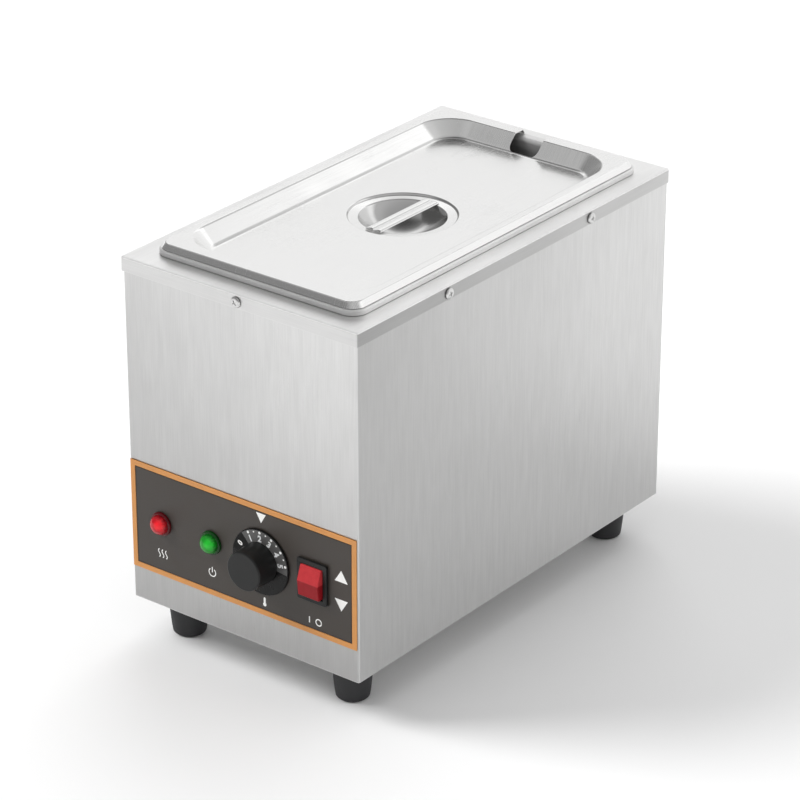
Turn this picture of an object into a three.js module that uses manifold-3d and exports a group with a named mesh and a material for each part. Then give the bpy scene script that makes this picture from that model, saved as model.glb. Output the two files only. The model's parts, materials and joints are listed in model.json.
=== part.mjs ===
// Electric chocolate melter for one third-size pan, built in millimetres with +Z up.
// The front faces -Y. The origin lies on the floor, under the middle of the bounding box.
import * as THREE from "three";
import { mergeVertices } from "three/addons/utils/BufferGeometryUtils.js";
import Module from "manifold-3d";

const wasm = await Module();
wasm.setup();

// General sizes
const sheet = 0.9;
const gap = 0.3;
const overlap = 0.4;
const holeClearance = 0.3;

// Pan, measured from the top of the cap
const panWidth = 176;
const panLength = 325;
const panFlangeTop = 4.2;
const panDepth = 150;
const panWall = 0.8;
const panEdgeRadius = 1.2;
const panCornerRadius = 12;
const panFlangeReach = 9.5;
const panDraft = 11.5;
const panMouthWidth = panWidth - 2 * panFlangeReach;
const panMouthLength = panLength - 2 * panFlangeReach;
const panMouthRadius = 28;
const panFloorWidth = panMouthWidth - 2 * panDraft;
const panFloorLength = panMouthLength - 2 * panDraft;
const panFloorRadius = 22;
const panFloorFillet = 9;
const panNeckRadius = 3;

// Opening of the cap and the well under it
const openingSideMargin = 3;
const openingEndMargin = 3.5;
const openingWidth = panMouthWidth + 2 * openingSideMargin;
const openingLength = panMouthLength + 2 * openingEndMargin;
const openingRadius = 26;
const wellSetBack = 1;
const wellWidth = openingWidth + 2 * wellSetBack;
const wellLength = openingLength + 2 * wellSetBack;
const wellRadius = 27;
const waterDepth = 16.2;
const wellDepth = panDepth - panFlangeTop + waterDepth;
const wellFloorFillet = 8;
const wellFlange = 9;
const wellFlangeBend = 1.5;

// Cap and body
const capSideMargin = 14.2;
const capEndMargin = 16.5;
const capWidth = panWidth + 2 * capSideMargin;
const capLength = panLength + 2 * capEndMargin;
const capSkirt = 10.6;
const compartmentHeight = 98.6;
const capEdgeRadius = 1.1;
const capCornerRadius = 1.6;
const footHeight = 31;
const bodyWidth = capWidth - 2 * (sheet + gap);
const bodyLength = capLength - 2 * (sheet + gap);
const bodyCornerRadius = 1.5;
const capTop = footHeight + compartmentHeight + wellDepth;
const wellBottom = capTop - wellDepth - sheet;
const bodyTop = capTop - sheet - gap;
const frontFace = -bodyLength / 2;
const rearFace = bodyLength / 2;
const frontInside = frontFace + sheet;
const sideInside = bodyWidth / 2 - sheet;
const wrapEnd = rearFace - sheet - gap;
const returnFlange = 12;

// Lid, measured from the top of the cap
const lidTop = 8.6;
const lidPanel = -2.5;
const lidWall = 0.8;
const lipSideInset = 1.7;
const lipEndInset = 1.2;
const lidLipWidth = panWidth - 2 * lipSideInset;
const lidLipLength = panLength - 2 * lipEndInset;
const lidLipRadius = 11;
const crestSideInset = 2.1;
const crestEndInset = 1.8;
const lidCrestWidth = lidLipWidth - 2 * crestSideInset;
const lidCrestLength = lidLipLength - 2 * crestEndInset;
const lidCrestRadius = 9.5;
const lidEdgeRadius = 1.3;
const lidLipLean = 55;
const recessSideInset = 6.2;
const recessEndInset = 10.5;
const recessWidth = lidCrestWidth - 2 * recessSideInset;
const recessLength = lidCrestLength - 2 * recessEndInset;
const recessRadius = 28;
const recessSideRun = 12;
const recessEndRun = 10;
const recessFloorWidth = recessWidth - 2 * recessSideRun;
const recessFloorLength = recessLength - 2 * recessEndRun;
const recessFloorRadius = 17;
const recessFloorBend = 6;
const recessTopBend = 3;
const notchWidth = 25;
const notchInner = recessFloorLength / 2;
const notchRadius = 5;

// Cup and strap of the lid handle
const cupRingRadius = 39.5;
const cupStepRun = 1.3;
const cupStepRadius = cupRingRadius - cupStepRun;
const cupStepDrop = 1.6;
const cupLedge = 6.6;
const cupMouthRadius = cupStepRadius - cupLedge;
const cupDepth = 17;
const cupBendShare = 0.03;
const cupFlatness = 0.8;
const cupSteps = 5;
const buryShare = 0.12;
const strapEndInset = 6.2;
const strapLength = 2 * (cupRingRadius - strapEndInset);
const strapWidth = 13;
const strapThickness = 1.3;
const strapRim = 4.1;
const strapBevel = 1;
const strapGroove = 0.6;

// Insulation
const insulationGap = 0.4;
const insulationBottomRise = 4;
const insulationTopDrop = 22;

// Control panel
const controlDrop = 32.3;
const controlHeight = capTop - wellDepth - controlDrop;
const panelInset = 1;
const panelWidth = bodyWidth - 2 * panelInset;
const panelReachDown = 41.3;
const panelHeight = 83.4;
const panelBottom = controlHeight - panelReachDown;
const panelTop = panelBottom + panelHeight;
const panelBorder = 4;
const panelThickness = 0.6;
const panelFieldDrop = 0.15;
const panelFront = frontFace - gap - panelThickness;
const fieldFront = panelFront + panelFieldDrop;
const controlBack = fieldFront - gap;

// Lamps
const redLampShare = 0.3625;
const greenLampShare = 0.136;
const redLampX = -redLampShare * panelWidth;
const greenLampX = -greenLampShare * panelWidth;
const lensFlangeRadius = 8.8;
const lensFlangeThickness = 2;
const lensBevel = 0.8;
const lensDomeRadius = 7.2;
const lensHeight = 8.2;
const lampBarrelRadius = 6.2;
const lampBarrelLength = 26;
const lampNutRadius = 8.6;
const lampNutThickness = 3;
const lampBladeLength = 7;

// Thermostat and its knob
const knobShare = 0.088;
const knobX = knobShare * panelWidth;
const dialRadius = 24.6;
const dialThickness = 1.6;
const dialBevelShare = 0.4;
const gripRadius = 15;
const gripTopRadius = 14.5;
const gripReach = 20.5;
const gripEdgeRadius = 1.2;
const gripFaceThickness = 3.2;
const shaftRadius = 3;
const shaftClearance = 0.05;
const shaftFlat = 1;
const shaftSeat = 6;
const thermostatWidth = 38;
const thermostatHeight = 36;
const thermostatDepth = 27;
const thermostatPlate = 1.5;
const thermostatWing = 4;
const thermostatBladeDropShare = 0.6;
const bushRadius = 5.2;

// Rocker switch
const switchShare = 0.315;
const switchX = switchShare * panelWidth;
const bezelWidth = 25.6;
const bezelHeight = 31;
const bezelThickness = 2;
const bezelCornerRadius = 1.5;
const rockerWidth = 18;
const rockerLength = 22.6;
const rockerRise = 4.8;
const rockerRidgeAngle = 13;
const rockerTilt = 7;
const rockerPivotDepth = 3;
const rockerBelly = 8;
const rockerBellyShare = 0.94;
const rockerClearance = 0.55;
const switchBodyWidth = 22.8;
const switchBodyHeight = 28.8;
const switchBodyDepth = 24;
const bladeWidth = 6.3;
const bladeThickness = 0.8;
const bladeLength = 8;

// Feet
const footInset = 27;
const footTopRadius = 14.9;
const footShoulderRadius = 12.7;
const footShoulderHeight = 6;
const footBulgeRadius = 11.6;
const footBulgeHeight = 2;
const footBottomRadius = 9.3;
const footTopBevel = 0.7;
const footBoreRadius = 5.4;
const footBoreDepth = 14;
const footScrewRadius = 2.5;
const footScrewHeadRadius = 4.6;
const footScrewHead = 3;
const footScrewRise = 6;
const footScrewBevel = 0.8;

// Base tray
const trayFlange = 15;
const trayBossRadius = 6;
const trayBossHeight = 4;
const traySlotLength = 36;
const traySlotWidth = 4;
const traySlotPitch = 14;
const traySlotCount = 6;
const traySlotY = -20;

// Screws
const capScrewDrop = 6;
const capScrewShare = 0.2277;
const capScrewOffset = capScrewShare * capLength;
const screwHeadRadius = 4;
const screwHeadHeight = 1.7;
const screwShankRadius = 2;
const screwLength = 7;
const screwPoint = 1.2;
const headEdgeShare = 0.35;
const headCrownShare = 0.6;
const screwCross = 3.6;
const screwCrossWidth = 1;
const screwCrossDepth = 0.9;
const rearScrewInset = 6;
const rearScrewLow = 24;
const rearScrewHigh = 17;
const screwSides = 10;

// Vents and cord gland of the rear panel
const ventWidth = 4;
const ventHeight = 34;
const ventPitch = 11;
const ventCount = 9;
const ventRise = 44;
const ventBottom = footHeight + ventRise;
const glandSideInset = 38.1;
const glandX = -sideInside + glandSideInset;
const glandRise = 28;
const glandHeight = footHeight + glandRise;
const glandBarrelRadius = 7.6;
const glandBore = 4.4;
const glandHexRadius = 11;
const glandHexThickness = 5;
const glandDomeRadius = 9.6;
const glandDomeLength = 9;
const glandDomeBevel = 2.6;
const glandInside = 9;
const glandNutThickness = 4;

// Heating element and what is fixed under the well
const elementRadius = 4;
const elementRunShare = 0.206;
const elementFrontInset = 35.5;
const elementRearInset = 61.5;
const elementRunX = elementRunShare * wellWidth;
const elementFrontY = -wellLength / 2 + elementFrontInset;
const elementRearY = wellLength / 2 - elementRearInset;
const elementLegDrop = 16;
const elementBend = 20;
const elementTipRadius = 1.6;
const elementTipLength = 9;
const clampSideInset = 30.5;
const clampShorter = 68;
const clampRearInset = 66;
const clampWidth = wellWidth - 2 * clampSideInset;
const clampLength = elementRearY - elementFrontY - clampShorter;
const clampThickness = 1.5;
const clampMiddleY = elementRearY - clampRearInset;
const clampStudRadius = 2.5;
const clampStudX = 12;
const clampStudInset = 25;
const clampStudY = clampLength / 2 - clampStudInset;
const clampStudEnd = 1;
const clampNutRadius = 4.6;
const clampNutThickness = 4;
const clampSlotWidth = 14;
const clampSlotInset = 8;
const clampSlotLength = 2 * (clampStudY - clampSlotInset);

// Thermostat bulb, its clip and the thermal cut-out
const bulbRadius = 3;
const bulbFrontInset = 60;
const bulbOverClamp = 1;
const bulbStart = elementFrontY + bulbFrontInset;
const bulbLength = clampLength / 2 + bulbOverClamp;
const capillaryRadius = 1.1;
const clipWidth = 10;
const clipSheet = 0.8;
const clipWing = 7;
const clipShare = 0.79;
const clipY = bulbStart + clipShare * bulbLength;
const cutoutRadius = 8;
const cutoutHeight = 7;
const cutoutFlangeLength = 26;
const cutoutFlangeWidth = 12;
const cutoutFlangeThickness = 1.2;
const cutoutOffset = 2;
const cutoutFrontInset = 24;
const cutoutX = -elementRunX / 2 + cutoutOffset;
const cutoutY = elementFrontY + cutoutFrontInset;
const capillaryOffset = 6;
const capillaryRun = 12;

// Terminal block, earth stud and leads
const earthSideInset = 22.1;
const earthRearInset = 49.8;
const terminalSideInset = 62.1;
const terminalRearInset = 59.8;
const terminalX = -sideInside + terminalSideInset;
const terminalY = rearFace - terminalRearInset;
const terminalWidth = 44;
const terminalDepth = 24;
const terminalHeight = 18;
const terminalBore = 2.2;
const terminalBoreShare = 0.6;
const terminalPitchShare = 0.31;
const earthX = -sideInside + earthSideInset;
const earthY = rearFace - earthRearInset;
const earthNutRadius = 5.6;
const earthNutThickness = 4;
const earthStudRadius = 2.5;
const earthStudHeight = 14;
const leadRadius = 1.3;
const leadBend = 10;
const leadTail = 13;
const leadHeight = 12;

const roundSides = 40;
const cupSides = 36;
const middleSides = 20;
const smallSides = 14;
const wireSides = 8;
const leadSides = 6;
const nutSides = 6;
const cornerSteps = 5;
const sheetBendSteps = 3;
const wireBendSteps = 3;
const domeSteps = 5;
const bellySteps = 6;
const bendReachShare = 0.45;

const degree = Math.PI / 180;
const elementHeight = wellBottom - gap - elementRadius;
const clampTop = elementHeight - elementRadius - gap;
const trayTop = footHeight + sheet;
const knobFront = frontFace - gripReach;
const glandReach = rearFace + gap + glandHexThickness + glandDomeLength;
const screwReach = capLength / 2 + gap + screwHeadHeight;
const rearReach = Math.max(glandReach, screwReach);
const middleY = (knobFront + rearReach) / 2;

// Solids

// A closed geometry as a solid.
function solidFrom(geometry) {
  const bare = geometry.clone();
  bare.deleteAttribute("normal");
  bare.deleteAttribute("uv");
  const merged = mergeVertices(bare, 1e-4);
  return new wasm.Manifold(
    new wasm.Mesh({
      numProp: 3,
      vertProperties: merged.attributes.position.array,
      triVerts: new Uint32Array(merged.index.array),
    }),
  );
}

// A solid as a geometry with flat faces.
function geometryFrom(solid) {
  const mesh = solid.getMesh();
  const positions = new Float32Array(mesh.triVerts.length * 3);
  mesh.triVerts.forEach((vertex, i) => {
    for (let axis = 0; axis < 3; axis++)
      positions[3 * i + axis] = mesh.vertProperties[vertex * mesh.numProp + axis];
  });
  const geometry = new THREE.BufferGeometry();
  geometry.setAttribute("position", new THREE.BufferAttribute(positions, 3));
  geometry.computeVertexNormals();
  return geometry;
}

function joined(first, ...others) {
  return others.reduce((sum, other) => sum.add(other), first);
}

function cut(first, ...others) {
  return others.reduce((rest, other) => rest.subtract(other), first);
}

// A box from its lowest corner to its highest.
function block(x0, y0, z0, x1, y1, z1) {
  const geometry = new THREE.BoxGeometry(x1 - x0, y1 - y0, z1 - z0);
  geometry.translate((x0 + x1) / 2, (y0 + y1) / 2, (z0 + z1) / 2);
  return solidFrom(geometry);
}

// A round bar between two heights.
function barZ(x, y, z0, z1, radius, sides = smallSides) {
  const geometry = new THREE.CylinderGeometry(radius, radius, z1 - z0, sides);
  geometry.rotateX(90 * degree);
  geometry.translate(x, y, (z0 + z1) / 2);
  return solidFrom(geometry);
}

// A round bar from y0 to y1.
function barY(x, z, y0, y1, radius, sides = smallSides) {
  const geometry = new THREE.CylinderGeometry(radius, radius, y1 - y0, sides);
  geometry.translate(x, (y0 + y1) / 2, z);
  return solidFrom(geometry);
}

// A round bar from x0 to x1.
function barX(y, z, x0, x1, radius, sides = smallSides) {
  const geometry = new THREE.CylinderGeometry(radius, radius, x1 - x0, sides);
  geometry.rotateZ(90 * degree);
  geometry.translate((x0 + x1) / 2, y, z);
  return solidFrom(geometry);
}

// A profile of [radius, height] points turned about Z.
function turned(profile, sides = roundSides) {
  const points = profile.map(([radius, height]) => new THREE.Vector2(radius, height));
  const geometry = new THREE.LatheGeometry(points, sides);
  geometry.rotateX(90 * degree);
  const solid = solidFrom(geometry);
  return solid.volume() < 0 ? solidFrom(flipped(geometry)) : solid;
}

// The same surface with its faces turned round.
function flipped(geometry) {
  const turnedRound = geometry.clone();
  const index = turnedRound.index.array;
  for (let i = 0; i < index.length; i += 3) [index[i + 1], index[i + 2]] = [index[i + 2], index[i + 1]];
  return turnedRound;
}

// A profile of [radius, distance] points turned about an axis that runs towards the front.
function turnedFront(profile, sides = roundSides) {
  return turned(profile, sides).rotate([90, 0, 0]);
}

// A closed outline of [x, y] points raised from z0 to z1.
function raised(outline, z0, z1) {
  const shape = new THREE.Shape(outline.map(([x, y]) => new THREE.Vector2(x, y)));
  const geometry = new THREE.ExtrudeGeometry(shape, { depth: z1 - z0, bevelEnabled: false, steps: 1 });
  geometry.translate(0, 0, z0);
  return solidFrom(geometry);
}

// The points of a rectangle with rounded corners, anticlockwise.
function roundedOutline(width, length, radius, steps = cornerSteps) {
  const points = [];
  const corners = [
    [1, 1],
    [-1, 1],
    [-1, -1],
    [1, -1],
  ];
  corners.forEach(([sideX, sideY], quarter) => {
    const centreX = sideX * (width / 2 - radius);
    const centreY = sideY * (length / 2 - radius);
    for (let step = 0; step <= steps; step++) {
      const angle = (quarter + step / steps) * 90 * degree;
      points.push([centreX + radius * Math.cos(angle), centreY + radius * Math.sin(angle)]);
    }
  });
  return points;
}

// A skin through rounded rectangles [width, length, radius, height].
// Either the first and last rings are closed with flat ends, or the skin runs back to its first ring.
function skin(rings, flatEnds = true, steps = cornerSteps) {
  const outlines = rings.map(([width, length, radius, height]) =>
    roundedOutline(width, length, radius, steps).map(([x, y]) => [x, y, height]),
  );
  const count = outlines[0].length;
  const positions = outlines.flat(2);
  const index = [];
  const bands = flatEnds ? outlines.length - 1 : outlines.length;
  for (let band = 0; band < bands; band++) {
    const start = band * count;
    const next = ((band + 1) % outlines.length) * count;
    for (let i = 0; i < count; i++) {
      const j = (i + 1) % count;
      index.push(start + i, next + j, start + j, start + i, next + i, next + j);
    }
  }
  if (flatEnds) {
    const last = (outlines.length - 1) * count;
    for (let i = 1; i < count - 1; i++) {
      index.push(0, i, i + 1);
      index.push(last, last + i + 1, last + i);
    }
  }
  const geometry = new THREE.BufferGeometry();
  geometry.setAttribute("position", new THREE.BufferAttribute(new Float32Array(positions), 3));
  geometry.setIndex(index);
  const solid = solidFrom(geometry);
  return solid.volume() < 0 ? solidFrom(flipped(geometry)) : solid;
}

// Sheet metal pressed into shape: rings [width, length, radius, height, lean] of its upper face.
// The lean is the angle from straight down, outwards, at which the sheet lies behind that face.
function pressed(rings, thickness, steps = cornerSteps) {
  const back = rings.map(([width, length, radius, height, lean]) => {
    const out = thickness * Math.sin(lean * degree);
    const down = thickness * Math.cos(lean * degree);
    return [width + 2 * out, length + 2 * out, radius + out, height - down];
  });
  return skin([...rings, ...back.reverse()], true, steps);
}

// Three places on a rounded bend between level and the given lean, as [along, up, lean].
function bendPlaces(radius, lean) {
  return [0, lean / 2, lean].map((angle) => [
    radius * Math.sin(angle * degree),
    radius * (1 - Math.cos(angle * degree)),
    angle,
  ]);
}

// A bent line that is drawn with its own corner points and no more.
class BentLine extends THREE.Curve {
  constructor(points) {
    super();
    this.points = points;
  }

  getPoint(share) {
    const place = share * (this.points.length - 1);
    const before = Math.min(Math.floor(place), this.points.length - 2);
    return this.points[before].clone().lerp(this.points[before + 1], place - before);
  }

  getPointAt(share) {
    return this.getPoint(share);
  }

  getTangentAt(share) {
    const place = Math.round(share * (this.points.length - 1));
    const before = this.points[Math.max(place - 1, 0)];
    const here = this.points[place];
    const after = this.points[Math.min(place + 1, this.points.length - 1)];
    const tangent = new THREE.Vector3();
    if (place > 0) tangent.add(here.clone().sub(before).normalize());
    if (place < this.points.length - 1) tangent.add(after.clone().sub(here).normalize());
    return tangent.normalize();
  }
}

// The corner points [x, y, z] of a line, each inner corner rounded with the given bend radius.
function bent(corners, bendRadius, steps = wireBendSteps) {
  const places = corners.map(([x, y, z]) => new THREE.Vector3(x, y, z));
  const points = [places[0]];
  for (let i = 1; i < places.length - 1; i++) {
    const before = places[i - 1];
    const here = places[i];
    const after = places[i + 1];
    const back = before.clone().sub(here);
    const ahead = after.clone().sub(here);
    const longest = Math.min(back.length(), ahead.length()) * bendReachShare;
    const reach = Math.min(bendRadius, longest);
    const start = here.clone().add(back.normalize().multiplyScalar(reach));
    const end = here.clone().add(ahead.normalize().multiplyScalar(reach));
    const bend = new THREE.QuadraticBezierCurve3(start, here, end);
    points.push(...bend.getPoints(steps));
  }
  points.push(places[places.length - 1]);
  return new BentLine(points);
}

// A round wire along a bent line.
function wire(line, radius, sides) {
  const section = new THREE.Shape(
    Array.from({ length: sides }, (_, i) => {
      const angle = (i / sides) * 360 * degree;
      return new THREE.Vector2(radius * Math.cos(angle), radius * Math.sin(angle));
    }),
  );
  const geometry = new THREE.ExtrudeGeometry(section, {
    extrudePath: line,
    steps: line.points.length - 1,
    bevelEnabled: false,
  });
  return solidFrom(geometry);
}

// A regular nut with its axis along Z.
function hexagonZ(x, y, z0, z1, radius, bore) {
  return cut(barZ(x, y, z0, z1, radius, nutSides), barZ(x, y, z0 - overlap, z1 + overlap, bore));
}

// A regular nut with its axis along Y.
function hexagonY(x, z, y0, y1, radius, bore) {
  return cut(barY(x, z, y0, y1, radius, nutSides), barY(x, z, y0 - overlap, y1 + overlap, bore));
}

// Materials
const steel = { color: 0xd4d5d6, roughness: 0.34, metalness: 0.9 };
const polished = { color: 0xe2e3e4, roughness: 0.18, metalness: 0.95 };
const zinc = { color: 0xb4b6b8, roughness: 0.42, metalness: 0.85 };
const wool = { color: 0xc9bf9c, roughness: 0.95, metalness: 0 };
const orange = { color: 0xe89a3c, roughness: 0.5, metalness: 0 };
const charcoal = { color: 0x4d4a48, roughness: 0.55, metalness: 0 };
const blackPlastic = { color: 0x262626, roughness: 0.5, metalness: 0 };
const silverPrint = { color: 0x7d7d7c, roughness: 0.4, metalness: 0.2 };
const redPlastic = { color: 0xb4262c, roughness: 0.3, metalness: 0 };
const redLens = { color: 0xc81e26, roughness: 0.15, metalness: 0 };
const greenLens = { color: 0x1f9a34, roughness: 0.15, metalness: 0 };
const rubber = { color: 0x333335, roughness: 0.85, metalness: 0 };
const ceramic = { color: 0xece7dc, roughness: 0.5, metalness: 0 };
const copper = { color: 0xb4764a, roughness: 0.35, metalness: 0.9 };
const brownLead = { color: 0x5b3a24, roughness: 0.6, metalness: 0 };
const blueLead = { color: 0x2b4f8f, roughness: 0.6, metalness: 0 };
const earthLead = { color: 0x7aa23a, roughness: 0.6, metalness: 0 };

function piece(name, solid, look) {
  const mesh = new THREE.Mesh(geometryFrom(solid), new THREE.MeshStandardMaterial(look));
  mesh.name = name;
  return mesh;
}

// The same piece at several places, each with its own name.
function repeated(names, places, solid, look) {
  return names.map((name, i) => {
    const mesh = piece(name, solid, look);
    mesh.position.set(...places[i]);
    return mesh;
  });
}

// Housing

// Where the cap screws sit: [name, x, y, turn about Z]. At turn 0 the head points to the front.
const capScrews = [
  ["cap_screw_front", 0, -capLength / 2, 0],
  ["cap_screw_rear", 0, capLength / 2, 180],
  ["cap_screw_right_front", capWidth / 2, -capScrewOffset, 90],
  ["cap_screw_right_rear", capWidth / 2, capScrewOffset, 90],
  ["cap_screw_left_front", -capWidth / 2, -capScrewOffset, -90],
  ["cap_screw_left_rear", -capWidth / 2, capScrewOffset, -90],
];

function capScrewHoles() {
  const height = capTop - capScrewDrop;
  const radius = screwShankRadius + holeClearance;
  const inward = sheet + gap + sheet + 2 * overlap;
  const alongY = [-1, 1].map((side) => {
    const outer = side * (capLength / 2 + overlap);
    const inner = side * (capLength / 2 + overlap - inward);
    return barY(0, height, Math.min(outer, inner), Math.max(outer, inner), radius);
  });
  const alongX = [-1, 1].flatMap((side) => {
    const outer = side * (capWidth / 2 + overlap);
    const inner = side * (capWidth / 2 + overlap - inward);
    return [-1, 1].map((end) =>
      barX(end * capScrewOffset, height, Math.min(outer, inner), Math.max(outer, inner), radius),
    );
  });
  return [...alongY, ...alongX];
}

// Holes through the front wall and the panel for lamps, shaft and switch.
function controlHoles(y0, y1) {
  const lampHole = lampBarrelRadius + holeClearance;
  const halfWidth = switchBodyWidth / 2 + holeClearance;
  const halfHeight = switchBodyHeight / 2 + holeClearance;
  return [
    barY(redLampX, controlHeight, y0, y1, lampHole),
    barY(greenLampX, controlHeight, y0, y1, lampHole),
    barY(knobX, controlHeight, y0, y1, bushRadius + holeClearance),
    block(
      switchX - halfWidth,
      y0,
      controlHeight - halfHeight,
      switchX + halfWidth,
      y1,
      controlHeight + halfHeight,
    ),
  ];
}

// Front and both sides are one folded sheet, turned inwards at the rear.
function housingWrap() {
  const half = bodyWidth / 2;
  const radius = bodyCornerRadius;
  const arc = (centreX, centreY, size, from, to) =>
    Array.from({ length: sheetBendSteps + 1 }, (_, i) => {
      const angle = (from + ((to - from) * i) / sheetBendSteps) * degree;
      return [centreX + size * Math.cos(angle), centreY + size * Math.sin(angle)];
    });
  const left = -half + radius;
  const right = half - radius;
  const low = frontFace + radius;
  const outline = [
    [-half + returnFlange, wrapEnd],
    [-half, wrapEnd],
    ...arc(left, low, radius, 180, 270),
    ...arc(right, low, radius, 270, 360),
    [half, wrapEnd],
    [half - returnFlange, wrapEnd],
    [half - returnFlange, wrapEnd - sheet],
    [half - sheet, wrapEnd - sheet],
    ...arc(right, low, radius - sheet, 360, 270),
    ...arc(left, low, radius - sheet, 270, 180),
    [-half + sheet, wrapEnd - sheet],
    [-half + returnFlange, wrapEnd - sheet],
  ];
  const walls = raised(outline, footHeight, bodyTop);
  return cut(
    walls,
    ...controlHoles(frontFace - overlap, frontInside + overlap),
    ...rearScrewPlaces().map(([x, z]) =>
      barY(x, z, wrapEnd - sheet - overlap, wrapEnd + overlap, screwShankRadius + holeClearance),
    ),
    ...capScrewHoles(),
  );
}

function rearScrewPlaces() {
  const x = bodyWidth / 2 - rearScrewInset;
  return [
    [-x, footHeight + rearScrewLow],
    [x, footHeight + rearScrewLow],
    [-x, bodyTop - rearScrewHigh],
    [x, bodyTop - rearScrewHigh],
  ];
}

function rearPanel() {
  const half = bodyWidth / 2;
  const plate = block(-half, rearFace - sheet, footHeight, half, rearFace, bodyTop);
  const vents = Array.from({ length: ventCount }, (_, i) => {
    const x = (i - (ventCount - 1) / 2) * ventPitch;
    const low = ventBottom + ventWidth / 2;
    const high = ventBottom + ventHeight - ventWidth / 2;
    const y0 = rearFace - sheet - overlap;
    const y1 = rearFace + overlap;
    return joined(
      block(x - ventWidth / 2, y0, low, x + ventWidth / 2, y1, high),
      barY(x, low, y0, y1, ventWidth / 2, wireSides),
      barY(x, high, y0, y1, ventWidth / 2, wireSides),
    );
  });
  const y0 = rearFace - sheet - overlap;
  const y1 = rearFace + overlap;
  return cut(
    plate,
    ...vents,
    barY(glandX, glandHeight, y0, y1, glandBarrelRadius + holeClearance),
    ...rearScrewPlaces().map(([x, z]) => barY(x, z, y0, y1, screwShankRadius + holeClearance)),
    ...capScrewHoles().slice(1, 2),
  );
}

function footPlaces() {
  const x = bodyWidth / 2 - footInset;
  const y = bodyLength / 2 - footInset;
  return [
    [-x, -y],
    [x, -y],
    [-x, y],
    [x, y],
  ];
}

// The floor of the housing, with its edges turned up and a threaded boss over each foot.
function baseTray() {
  const halfWidth = sideInside - gap;
  const front = frontInside + gap;
  const rear = wrapEnd - sheet - gap;
  const outer = block(-halfWidth, front, footHeight, halfWidth, rear, footHeight + trayFlange);
  const hollow = block(
    -halfWidth + sheet,
    front + sheet,
    trayTop,
    halfWidth - sheet,
    rear - sheet,
    footHeight + trayFlange + overlap,
  );
  const bosses = footPlaces().map(([x, y]) =>
    barZ(x, y, footHeight, trayTop + trayBossHeight, trayBossRadius),
  );
  const bossHoles = footPlaces().map(([x, y]) =>
    barZ(x, y, footHeight - overlap, trayTop + trayBossHeight + overlap, footScrewRadius + holeClearance),
  );
  const slots = Array.from({ length: traySlotCount }, (_, i) => {
    const y = traySlotY + (i - (traySlotCount - 1) / 2) * traySlotPitch;
    const half = traySlotLength / 2;
    return block(
      -half,
      y - traySlotWidth / 2,
      footHeight - overlap,
      half,
      y + traySlotWidth / 2,
      trayTop + overlap,
    );
  });
  return cut(joined(cut(outer, hollow), ...bosses), ...bossHoles, ...slots);
}

// The lid of the housing: a sheet with a turned-down skirt and a mouth for the pan.
function topCap() {
  const radius = capEdgeRadius;
  const inset = radius * (1 - Math.SQRT1_2);
  const inside = 2 * sheet;
  const rings = [
    [capWidth, capLength, capCornerRadius, capTop - capSkirt],
    [capWidth, capLength, capCornerRadius, capTop - radius],
    [capWidth - 2 * inset, capLength - 2 * inset, capCornerRadius - inset, capTop - inset],
    [capWidth - 2 * radius, capLength - 2 * radius, capCornerRadius - radius, capTop],
    [openingWidth, openingLength, openingRadius, capTop],
    [openingWidth, openingLength, openingRadius, capTop - sheet],
    [capWidth - inside, capLength - inside, capCornerRadius - sheet, capTop - sheet],
    [capWidth - inside, capLength - inside, capCornerRadius - sheet, capTop - capSkirt],
  ];
  return cut(skin(rings, false), ...capScrewHoles());
}

// The well that holds the pan, hung by its flange under the cap, with two studs under its floor.
function well() {
  const flangeTop = capTop - sheet - gap;
  const floor = capTop - wellDepth;
  const at = (out, height, lean) => [
    wellWidth + 2 * out,
    wellLength + 2 * out,
    wellRadius + out,
    height,
    lean,
  ];
  const rings = [
    ...bendPlaces(wellFloorFillet, 90).map(([along, up, lean]) =>
      at(along - wellFloorFillet, floor + up, lean),
    ),
    ...bendPlaces(wellFlangeBend, 90)
      .reverse()
      .map(([along, up, lean]) => at(wellFlangeBend - along, flangeTop - up, lean)),
    at(wellFlange, flangeTop, 0),
  ];
  const studs = [-1, 1].map((end) =>
    barZ(
      end * clampStudX,
      clampMiddleY + end * clampStudY,
      clampTop - clampThickness - gap - clampNutThickness - clampStudEnd,
      floor - sheet / 2,
      clampStudRadius,
      wireSides,
    ),
  );
  return joined(pressed(rings, sheet), ...studs);
}

function insulation() {
  const width = 2 * (sideInside - insulationGap);
  const front = frontInside + insulationGap;
  const rear = wrapEnd - sheet - insulationGap;
  const bottom = wellBottom + insulationBottomRise;
  const top = capTop - insulationTopDrop;
  const outer = block(-width / 2, front, bottom, width / 2, rear, top);
  const reach = 2 * (sheet + insulationGap);
  const inner = raised(
    roundedOutline(wellWidth + reach, wellLength + reach, wellRadius + reach / 2),
    bottom - overlap,
    top + overlap,
  );
  return cut(outer, inner);
}

// Controls

function panelBorderFrame() {
  const half = panelWidth / 2;
  const back = frontFace - gap;
  const outer = block(-half, panelFront, panelBottom, half, back, panelTop);
  const inner = block(
    -half + panelBorder,
    panelFront - overlap,
    panelBottom + panelBorder,
    half - panelBorder,
    back + overlap,
    panelTop - panelBorder,
  );
  return cut(outer, inner);
}

function panelField() {
  const half = panelWidth / 2 - panelBorder - gap;
  const front = fieldFront;
  const back = frontFace - gap;
  const plate = block(
    -half,
    front,
    panelBottom + panelBorder + gap,
    half,
    back,
    panelTop - panelBorder - gap,
  );
  return cut(plate, ...controlHoles(front - overlap, back + overlap));
}

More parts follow.
